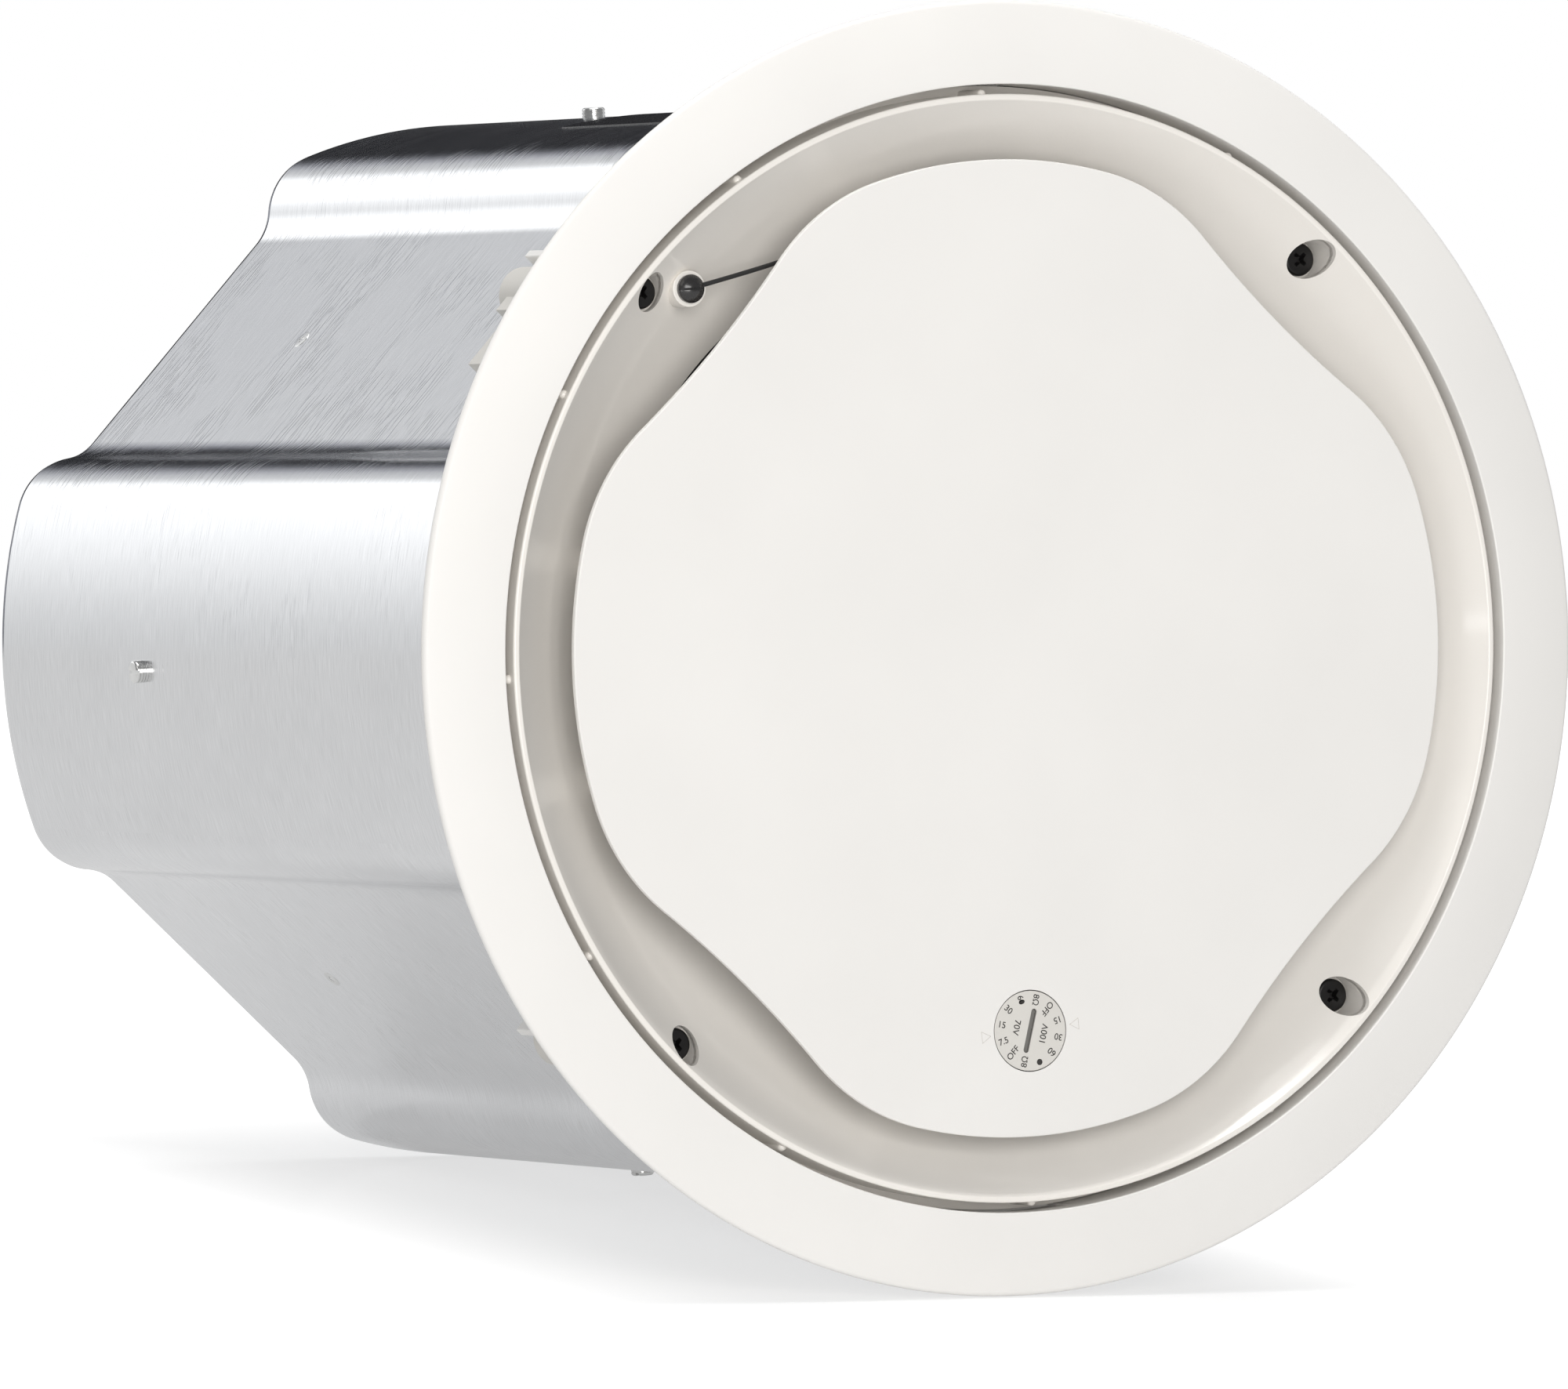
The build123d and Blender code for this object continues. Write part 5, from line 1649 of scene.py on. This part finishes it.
@dataclass
class Clamp:
    """One of the four clamps: black screw, brass bush and swing-out dog."""

    CIRCLE = 167.0
    index: int
    head_seat: float = 10.8
    tip: float = 89.0
    pitch: float = 2.5
    crest: float = 2.5
    root: float = 2.0
    twist: float = 0.0

    def corner(self) -> Matrix:
        """The clamp's own frame: X outward, at the screw's axis.

        Returns:
            The matrix, in metres.
        """
        turn = Matrix.Rotation(math.radians(45 + 90 * (self.index - 1)), 4, "Z")
        return turn @ Matrix.Translation((self.CIRCLE * MM, 0, 0))

    def thread(self) -> bpy.types.Mesh:
        """Threaded shank as one closed helix.

        Returns:
            The mesh.
        """
        steps = 24
        first, last = self.head_seat + 3, self.tip - 1.5
        rows = int((last - first) / self.pitch * 4)
        work = bmesh.new()
        rings = []
        for row in range(-2, rows + 3):
            ring = []
            for n in range(steps):
                share = (row / 4 + n / steps) % 1.0
                radius = self.root + (self.crest - self.root) * max(0.0, 1 - abs(share - 0.5) * 2.6)
                height = first + row * self.pitch / 4
                if row < 0 or row > rows:
                    radius = self.root
                at = polar(radius, 360 * n / steps)
                ring.append(work.verts.new((at.x * MM, at.y * MM, height * MM)))
            rings.append(ring)
        for ring, following in zip(rings, rings[1:]):
            for n in range(steps):
                after = (n + 1) % steps
                work.faces.new((ring[n], ring[after], following[after], following[n]))
        work.faces.new(rings[0])
        work.faces.new(rings[-1])
        return finish_mesh(work, "thread")

    def screw(self) -> bpy.types.Mesh:
        """Screw in the clamp's own frame, head towards -Z.

        Returns:
            The mesh.
        """
        head = ScrewHead(5.3, 2.8, 1.0, Drive.CROSS, 2.2, 2.4, 4.0).mesh("head")
        flip = Matrix.Translation((0, 0, self.head_seat * MM)) @ Matrix.Rotation(math.pi, 4, "X")
        head.transform(flip @ Matrix.Rotation(math.radians(self.twist), 4, "Z"))
        return joined("screw", [head, self.thread()])

    def build(self) -> None:
        """Makes the screw and the dog, dresses the bush, and hangs them on their bodies."""
        number = self.index
        mesh = self.screw()
        mesh.transform(self.corner())
        screw = shown(f"black_screw_{number}", mesh)
        screw.data.materials.append(Finishes.BLACK_SCREW.material())
        adopt(screw, f"clamp_screw_{number}", Finishes.BLACK_SCREW.slot, f"clamp_screw_{number}")
        dog = shown(f"swing_dog_{number}", cad_copy(f"clamp_dog_{number}", 0.8))
        dog.data.materials.clear()
        dog.data.materials.append(Finishes.BEIGE.material())
        adopt(dog, f"clamp_dog_{number}", Finishes.BEIGE.slot, f"clamp_dog_{number}")
        dress_node(f"clamp_bush_{number}", Finishes.BRASS)


# Can and rear end


@dataclass
class BackCan:
    """Four-lobed steel can with its front flange and the dark plate on its top lobe."""

    lobe: float = 174.4
    shoulder: float = 21.9
    valley: float = 17.6
    waist: float = 149.4
    shoulder_angle: float = 18.0
    wall: float = 1.0
    front: float = 19.5
    end: float = 384.7
    flange: float = 180.0
    notch: tuple[float, float, float] = (-15.5, -11.0, 15.5)
    bend: float = 2.0
    taper: float = 2.6
    taper_angle: float = 10.5
    plate_angle: float = 90.0
    plate_size: tuple[float, float, float] = (67.0, 130.0, 230.0)

    def outline(self, inset: float = 0.0) -> list[Point]:
        """Outline of the can's section.

        Args:
            inset: How far inside its outer face.

        Returns:
            Its points.
        """
        sizes = (self.lobe - inset, self.shoulder - inset, self.valley + inset, self.waist - inset)
        return lobed_outline(*sizes, self.shoulder_angle, 14)

    def shell(self) -> bpy.types.Mesh:
        """Wall of the can, with unrolled coordinates in metres.

        Returns:
            The mesh.
        """
        turn_out = arc((-self.bend, self.front + self.wall + self.bend), self.bend, -90, 0, 6)
        taper = math.tan(math.radians(self.taper_angle))
        outside = turn_out + [(0.0, self.end - self.taper), (0.1 * taper, self.end - self.taper + 0.1)]
        outside += [((self.taper - 0.1) * taper, self.end - 0.1), (self.taper * taper + 0.1, self.end)]
        inside = [(self.wall - 0.1, self.end), (self.wall, self.end - 0.1), (self.wall, self.front), (-self.bend, self.front)]
        path = outside + inside
        loops = [self.outline(inset) for inset, _ in path]
        count = len(loops[0])
        work = bmesh.new()
        unrolled = work.loops.layers.uv.new("UVMap")
        rows = [[work.verts.new((x * MM, y * MM, height * MM)) for x, y in loop] for loop, (_, height) in zip(loops, path)]
        along = [0.0]
        for a, b in zip(loops[0], loops[0][1:] + loops[0][:1]):
            along.append(along[-1] + (Vector(b) - Vector(a)).length)
        down = [0.0]
        for (a, low), (b, high) in zip(path, path[1:] + path[:1]):
            down.append(down[-1] + math.hypot(b - a, high - low))
        for row in range(len(rows)):
            below = (row + 1) % len(rows)
            for n in range(count):
                after = (n + 1) % count
                made = work.faces.new((rows[row][n], rows[row][after], rows[below][after], rows[below][n]))
                spots = ((along[n], down[row]), (along[n + 1], down[row]), (along[n + 1], down[row + 1]), (along[n], down[row + 1]))
                for loop, (u, v) in zip(made.loops, spots):
                    loop[unrolled].uv = (u * MM, v * MM)
        return finish_mesh(work, "shell")

    def flange_outline(self) -> list[Point]:
        """Outline of the front flange with a notch at each clamp.

        Returns:
            Its points.
        """
        inner, low, high = self.notch
        points: list[Point] = []
        for quarter in range(QUARTERS):
            turn = Matrix.Rotation(math.radians(45 + 90 * quarter), 2)
            out = [math.sqrt(self.flange**2 - side**2) - Clamp.CIRCLE for side in (low, high)]
            corners = [(out[0], low), (inner, low), (inner, high), (out[1], high)]
            points += [tuple(turn @ Vector((x + Clamp.CIRCLE, y))) for x, y in corners]
            start = 45 + 90 * quarter + math.degrees(math.asin(high / self.flange))
            end = 135 + 90 * quarter + math.degrees(math.asin(low / self.flange))
            points += arc((0, 0), self.flange, start, end, 32)[1:-1]
        return points

    def dark_plate(self) -> bpy.types.Mesh:
        """Bare dark plate on the top lobe, curved to it.

        Returns:
            The mesh.
        """
        width, near, far = self.plate_size
        half = math.degrees(width / 2 / self.lobe)
        low, high = self.lobe + 0.02, self.lobe + 0.35
        section = rounded([(low, near, 0), (high, near, 0.1), (high, far, 0.1), (low, far, 0)], 2)
        work = bmesh.new()
        rows = []
        for step in range(25):
            angle = self.plate_angle - half + 2 * half * step / 24
            spots = [polar(radius, angle) for radius, _ in section]
            rows.append([work.verts.new((at.x * MM, at.y * MM, z * MM)) for at, (_, z) in zip(spots, section)])
        for row, following in zip(rows, rows[1:]):
            for n in range(len(section)):
                after = (n + 1) % len(section)
                work.faces.new((row[n], row[after], following[after], following[n]))
        work.faces.new(rows[0])
        work.faces.new(rows[-1])
        return finish_mesh(work, "dark_plate")

    def build(self) -> None:
        """Makes the can and its plate and hangs them on their body."""
        ledge = slab("ledge", [self.flange_outline(), self.outline(-0.5)], self.front, self.front + self.wall, 0.12)
        can = shown("steel_can", joined("steel_can", [self.shell(), ledge]))
        can.data.materials.append(Finishes.CAN.material())
        adopt(can, "speaker", Finishes.CAN.slot, "back_can")
        plate = shown("dark_plate", self.dark_plate())
        plate.data.materials.append(Finishes.BLACK.material())
        adopt(plate, "speaker", Finishes.BLACK.slot)


@dataclass
class CanScrews:
    """Screws through the can's lobes, flats and flange."""

    lobe_height: float = 273.0
    flat_height: float = 284.0
    slot_turn: float = 55.0

    def sideways(
        self, head: ScrewHead, name: str, seat: float, height: float, turn: float = 0.0
    ) -> bpy.types.Mesh:
        """Screw that lies along +X.

        Args:
            head: The screw.
            name: Name of the mesh.
            seat: Distance of its seat from the axis.
            height: Its height.
            turn: Turn about its own axis in degrees.

        Returns:
            The mesh.
        """
        mesh = head.mesh(name)
        lying = Matrix.Rotation(math.pi / 2, 4, "Y") @ Matrix.Rotation(math.radians(turn), 4, "Z")
        mesh.transform(Matrix.Translation((seat * MM, 0, height * MM)) @ lying)
        return mesh

    def ring_of(self, name: str, mesh: bpy.types.Mesh, ring: Ring, finish: Finish, repeater: RingRepeater, node: str) -> None:
        """Repeats a screw and hangs the group on the loudspeaker.

        Args:
            name: Name of the piece.
            mesh: The screw. It is used up.
            ring: Where the copies stand.
            finish: Finish of the screws.
            repeater: Maker of repeats.
            node: The CAD node that the group stands for.
        """
        group = shown(name, bpy.data.meshes.new(name))
        repeater.repeat(group, mesh, ring, finish.material())
        adopt(group, "speaker", finish.slot, node)

    def build(self, repeater: RingRepeater) -> None:
        """Makes the groups of screws.

        Args:
            repeater: Maker of repeats.
        """
        cheese = ScrewHead(3.75, 3.3, 0.9, Drive.SLOT, 1.0, 1.9, 7.0, (2.0, 0.9))
        pair = [self.sideways(cheese, "cheese", 174.4, self.lobe_height, turn) for turn in (0.0, self.slot_turn)]
        pair[1].transform(Matrix.Rotation(math.pi / 2, 4, "Z"))
        mesh = joined("cheeses", pair)
        self.ring_of("lobe_screw_heads", mesh, Ring(2, 0, 0, 180), Finishes.BRIGHT, repeater, "lobe_screws")
        flush = ScrewHead(3.35, 1.55, 0.3, Drive.CROSS, 1.2, 1.9, 6.0)
        mesh = self.sideways(flush, "flush", 148.0, self.flat_height)
        self.ring_of("flat_screw_heads", mesh, Ring(QUARTERS, 0, 45, 90), Finishes.BRIGHT, repeater, "flat_screws")
        pan = ScrewHead(3.5, 2.4, 1.0, Drive.CROSS, 1.5, 1.9, 10.0)
        mesh = pan.mesh("pan")
        mesh.transform(Matrix.Translation((0, 0, 20.5 * MM)))
        ring = Ring(8, 165.0, 45, 90, 2, 17.5)
        self.ring_of("flange_screw_heads", mesh, ring, Finishes.BRIGHT, repeater, "flange_screws")
        mesh = pan.mesh("pan")
        mesh.transform(Matrix.Translation((0, 0, 386.1 * MM)))
        spot = Vector((56.5, 41.5))
        ring = Ring(4, spot.length, 0, 180, 2, math.degrees(math.atan2(spot.y, spot.x)))
        self.ring_of("lid_screw_heads", mesh, ring, Finishes.BRIGHT, repeater, "lid_screws")
        dome = arc((0, 382.15), 4.85, 90, 42.1, 8)
        rivet = lathe("rivet", dome + [(2.0, 385.4), (2.0, 381.0), (0, 381.0)], segments=48)
        spot = Vector((7.5, 97.0))
        ring = Ring(2, spot.length, 90, 180, 2, math.degrees(math.atan2(spot.x, spot.y)))
        self.ring_of("rivet_heads", rivet, ring, Finishes.RIVET, repeater, "safety_rivets")


@dataclass
class RearEnd:
    """Cover, wiring lid, cable gland and safety bracket at the can's end."""

    gland: Point = (30.0, 0.0)
    gland_front: float = 386.1
    grips: int = 18

    def gland_body(self) -> bpy.types.Mesh:
        """Gland with its flange, thread relief and dome nut.

        Returns:
            The mesh.
        """
        low = self.gland_front
        corners = [
            (8, low, 0),
            (17, low, 0.3),
            (17, low + 3, 0.6),
            (12.2, low + 3, 0.3),
            (12.2, low + 4.5, 0),
            (12.6, low + 5, 0.2),
            (12.6, low + 14, 0.4),
            (10.2, low + 18, 1.0),
            (8, low + 18, 0.5),
        ]
        return lathe("gland", rounded(corners), segments=96, closed=True)

    def grip(self) -> bpy.types.Mesh:
        """Grip rib of the dome nut, at the gland's own axis.

        Returns:
            The mesh.
        """
        low = self.gland_front
        outline = [(0, low + 5.2), (0.75, low + 5.4), (0.75, low + 13.2), (0, low + 13.8)]
        return lathe("grip", outline, segments=16)

    def build(self, repeater: RingRepeater) -> None:
        """Makes the pieces and hangs them on their body.

        Args:
            repeater: Maker of repeats.
        """
        body = shown("gland", self.gland_body())
        repeater.repeat(body, self.grip(), Ring(self.grips, 12.25, 0, 360 / self.grips), Finishes.BLACK.material())
        body.data.transform(Matrix.Translation((self.gland[0] * MM, self.gland[1] * MM, 0)))
        adopt(body, "speaker", Finishes.BLACK.slot, "cable_gland")
        for node, name, edge in (
            ("rear_cover", "end_cover", 0.4),
            ("terminal_lid", "wiring_lid", 0.3),
            ("safety_bracket", "wire_bracket", 0.4),
        ):
            piece = shown(name, cad_copy(node, edge))
            piece.data.materials.clear()
            piece.data.materials.append(Finishes.ZINC.material())
            adopt(piece, "speaker", Finishes.ZINC.slot, node)


def dress_node(node: str, finish: Finish) -> None:
    """Gives a kept CAD node its finish.

    Args:
        node: The CAD node.
        finish: Its finish.
    """
    slots = frame["nodes"][node].data.materials
    slots.clear()
    slots.append(finish.material())
    LOG.info("%s: kept from CAD, %s", node, finish.slot)


def dress_hidden() -> None:
    """Gives each CAD node that is still shown the finish of its slot in the record."""
    by_slot = {finish.slot: finish for finish in vars(Finishes).values() if isinstance(finish, Finish)}
    by_slot |= {finish.slot: finish for finish in Finishes.HIDDEN}
    for part in frame["record"]["subparts"]:
        if not frame["nodes"][part["node"]].hide_render:
            dress_node(part["node"], by_slot[part["material_slot"]])


# Photograph


@dataclass(frozen=True)
class Lamp:
    """Soft area light, placed as the photographer sees it.

    Attributes:
        name: Name of the light.
        right: Distance to the right of the loudspeaker in metres.
        up: Distance above it.
        toward: Distance towards the camera.
        size: Width of its face.
        height: Height of its face.
        power: Watts.
        colour: Linear colour.
    """

    name: str
    right: float
    up: float
    toward: float
    size: float
    height: float
    power: float
    colour: Rgb = (1.0, 1.0, 1.0)


@dataclass
class Stage:
    """Camera, floor, lights and surroundings of the photograph."""

    LAMPS = (
        Lamp("key", -1.1, 1.3, 1.5, 1.2, 1.2, 3.5, (1.0, 0.985, 0.96)),
        Lamp("front", 0.45, 0.2, 2.95, 1.8, 1.8, 54.0, (1.0, 0.985, 0.965)),
        Lamp("overhead", 0.0, 2.0, 0.0, 1.5, 1.5, 18.0),
        Lamp("top_strip", 0.0, 1.2, 0.28, 0.45, 0.05, 3.0),
        Lamp("side_strip", -0.5, -0.08, 0.84, 0.04, 0.4, 0.3),
    )
    focal: float = 19402.52
    width: float = 2000.0
    sensor: float = 36.0
    yaw: float = -0.4732
    pitch: float = 0.0101
    roll: float = 0.0029
    spin: float = 0.0546
    shift: tuple[float, float, float] = (72.4281, -14.5286, 4806.1147)
    datum: float = -7.0
    middle: tuple[float, float, float] = (0.0, 0.0, 0.12)
    rests: tuple[Point, Point] = ((205.0, -1.9), (174.4, 384.7))
    floor_size: float = 4.0

    def axes(self) -> Matrix:
        """Rotation from the CAD frame to the camera's right, down and forward.

        Returns:
            The matrix, whose rows are those directions.
        """
        tilt = Matrix.Rotation(self.roll, 3, "Z") @ Matrix.Rotation(self.pitch, 3, "X")
        return tilt @ Matrix.Rotation(self.yaw, 3, "Y") @ Matrix.Rotation(math.pi - self.spin, 3, "Z")

    def camera(self) -> None:
        """Puts the camera where the photograph was taken."""
        data = bpy.data.cameras.new("camera")
        data.sensor_width = self.sensor
        data.lens = self.focal * self.sensor / self.width
        data.clip_end = 100.0
        axes = self.axes()
        spot = axes.transposed() @ -Vector(self.shift) + Vector((0, 0, self.datum))
        turned = (Matrix.Diagonal((1, -1, -1)) @ axes).transposed()
        thing = bpy.data.objects.new("camera", data)
        thing.matrix_world = Matrix.Translation(spot * MM) @ turned.to_4x4()
        bpy.context.scene.collection.objects.link(thing)
        bpy.context.scene.camera = thing

    def lamps(self) -> None:
        """Hangs the area lights."""
        right, down, forward = self.axes()
        for lamp in self.LAMPS:
            data = bpy.data.lights.new(lamp.name, "AREA")
            data.shape = "RECTANGLE"
            data.size = lamp.size
            data.size_y = lamp.height
            data.energy = lamp.power
            data.color = lamp.colour
            away = right * lamp.right - down * lamp.up - forward * lamp.toward
            thing = bpy.data.objects.new(lamp.name, data)
            thing.location = Vector(self.middle) + away
            thing.rotation_euler = (-away).to_track_quat("-Z", "Y").to_euler()
            bpy.context.scene.collection.objects.link(thing)

    def floor(self) -> None:
        """Lays the white floor under the bezel's edge and the can's end."""
        below = Vector((math.sin(self.spin), -math.cos(self.spin), 0))
        near, far = (below * (reach * MM) + Vector((0, 0, height * MM)) for reach, height in self.rests)
        along = (far - near).normalized()
        across = along.cross(below).normalized()
        normal = across.cross(along)
        if normal.dot(below) > 0:
            normal, across = -normal, -across
        half = self.floor_size / 2
        work = bmesh.new()
        corners = [work.verts.new((x * half, y * half, 0)) for x, y in ((-1, -1), (1, -1), (1, 1), (-1, 1))]
        work.faces.new(corners)
        mesh = bpy.data.meshes.new("floor")
        work.to_mesh(mesh)
        work.free()
        thing = shown("floor", mesh)
        turned = Matrix((along.cross(normal), -along, normal)).transposed()
        thing.matrix_world = Matrix.Translation((near + far) / 2 - normal * 0.0003) @ turned.to_4x4()
        mesh.materials.append(self.floor_material())

    def floor_material(self) -> bpy.types.Material:
        """White sweep that shows a soft shadow and a faint mirror image, and nothing from below.

        Returns:
            The material.
        """
        made = bpy.data.materials.new("floor")
        made.use_nodes = True
        tree = made.node_tree
        tree.nodes.clear()
        graph = Graph(tree)
        place = graph.coordinates()
        length = graph.node("ShaderNodeVectorMath", operation="LENGTH")
        graph.fill(length.inputs[0], place)
        far = graph.spread(length.outputs["Value"], 0.0, 1.0, 0.2, 0.48, True)
        matte = graph.node("ShaderNodeBsdfDiffuse")
        matte.inputs["Color"].default_value = (0.92, 0.92, 0.92, 1)
        mirror = graph.node("ShaderNodeBsdfGlossy")
        mirror.inputs["Roughness"].default_value = 0.12
        white = graph.node("ShaderNodeEmission")
        seen = graph.node("ShaderNodeLightPath").outputs["Is Camera Ray"]
        axes = graph.node("ShaderNodeSeparateXYZ")
        graph.fill(axes.inputs[0], place)
        off = graph.sum("ABSOLUTE", axes.outputs["X"], 0.0)
        far = graph.sum("MAXIMUM", far, graph.spread(off, 0.0, 1.0, 0.06, 0.24, True))
        aside = graph.spread(axes.outputs["X"], 0.0, 1.0, 0.2, 0.5, True)
        corner = graph.sum("MULTIPLY", aside, graph.spread(axes.outputs["Y"], 1.0, 0.0, -0.3, 0.0, True))
        bounce = graph.spread(corner, 0.72, 0.1, 0.0, 1.0)
        graph.fill(white.inputs["Strength"], graph.sum("MAXIMUM", bounce, graph.spread(seen, 0.0, 1.3, 0.0, 1.0)))
        sheet = self.mixed(graph, 0.1, matte.outputs[0], mirror.outputs[0])
        lifted = self.mixed(graph, graph.spread(far, 0.45, 1.0, 0.0, 1.0), sheet, white.outputs[0])
        clear = graph.node("ShaderNodeBsdfTransparent")
        behind = graph.node("ShaderNodeNewGeometry").outputs["Backfacing"]
        top = self.mixed(graph, behind, lifted, clear.outputs[0])
        graph.fill(graph.node("ShaderNodeOutputMaterial").inputs["Surface"], top)
        return made

    def mixed(
        self, graph: Graph, share: object, first: bpy.types.NodeSocket, second: bpy.types.NodeSocket
    ) -> bpy.types.NodeSocket:
        """Mix of two shaders.

        Args:
            graph: The tree.
            share: Share of the second.
            first: First shader.
            second: Second shader.

        Returns:
            The mixed shader.
        """
        node = graph.node("ShaderNodeMixShader")
        graph.fill(node.inputs[0], share)
        graph.fill(node.inputs[1], first)
        graph.fill(node.inputs[2], second)
        return node.outputs[0]

    def world(self) -> None:
        """Studio around the loudspeaker: white to the camera, soft boxes and a dark end to everything else."""
        world = bpy.data.worlds.new("studio")
        bpy.context.scene.world = world
        world.use_nodes = True
        tree = world.node_tree
        tree.nodes.clear()
        graph = Graph(tree)
        direction = graph.coordinates("Generated")
        right, down, forward = self.axes()
        parts = []
        for axis in (right, -down, -forward):
            dot = graph.node("ShaderNodeVectorMath", operation="DOT_PRODUCT")
            graph.fill(dot.inputs[0], direction)
            dot.inputs[1].default_value = axis
            parts.append(dot.outputs["Value"])
        aside, above, toward = parts
        rear = graph.spread(toward, 0.014, 0.75, -0.89, -0.785, True)
        room = graph.sum("ADD", rear, graph.spread(toward, 0, -0.47, -0.55, -0.25, True))
        box = graph.sum("MULTIPLY", graph.spread(aside, 1, 0, -0.56, -0.46, True), graph.spread(above, 0, 1, -0.02, 0.32, True))
        box = graph.sum("MULTIPLY", box, graph.spread(above, 1, 0, 0.44, 0.54, True))
        box = graph.sum("MULTIPLY", box, graph.spread(toward, 1, 0, -0.3, 0.0, True))
        light = graph.sum("ADD", room, graph.sum("MULTIPLY", box, 0.78))
        studio = graph.node("ShaderNodeBackground")
        shade = graph.spread(toward, 0.0, 1.0, -0.89, -0.785)
        graph.fill(studio.inputs["Color"], graph.blend(shade, (0.86, 0.9, 1.12), (0.98, 0.99, 1.0)))
        graph.fill(studio.inputs["Strength"], light)
        white = graph.node("ShaderNodeBackground")
        white.inputs["Color"].default_value = (1, 1, 1, 1)
        seen = graph.node("ShaderNodeLightPath").outputs["Is Camera Ray"]
        view = self.mixed(graph, seen, studio.outputs[0], white.outputs[0])
        graph.fill(graph.node("ShaderNodeOutputWorld").inputs["Surface"], view)

    def build(self) -> None:
        """Sets up everything that isn't the loudspeaker."""
        bpy.context.scene.view_settings.view_transform = "Standard"
        self.camera()
        self.lamps()
        self.floor()
        self.world()


def main() -> None:
    """Builds the loudspeaker piece by piece, then the stage."""
    logging.basicConfig(level=logging.INFO, format="%(message)s")
    repeater = RingRepeater()
    BezelRing().build(repeater)
    Dish().build(repeater)
    DeflectorPlate().build(repeater)
    TapSelector().build()
    Lanyard().build()
    for index in range(1, QUARTERS + 1):
        Clamp(index).build()
    BackCan().build()
    CanScrews().build(repeater)
    RearEnd().build(repeater)
    dress_hidden()
    Stage().build()


if __name__ == "__main__":
    main()
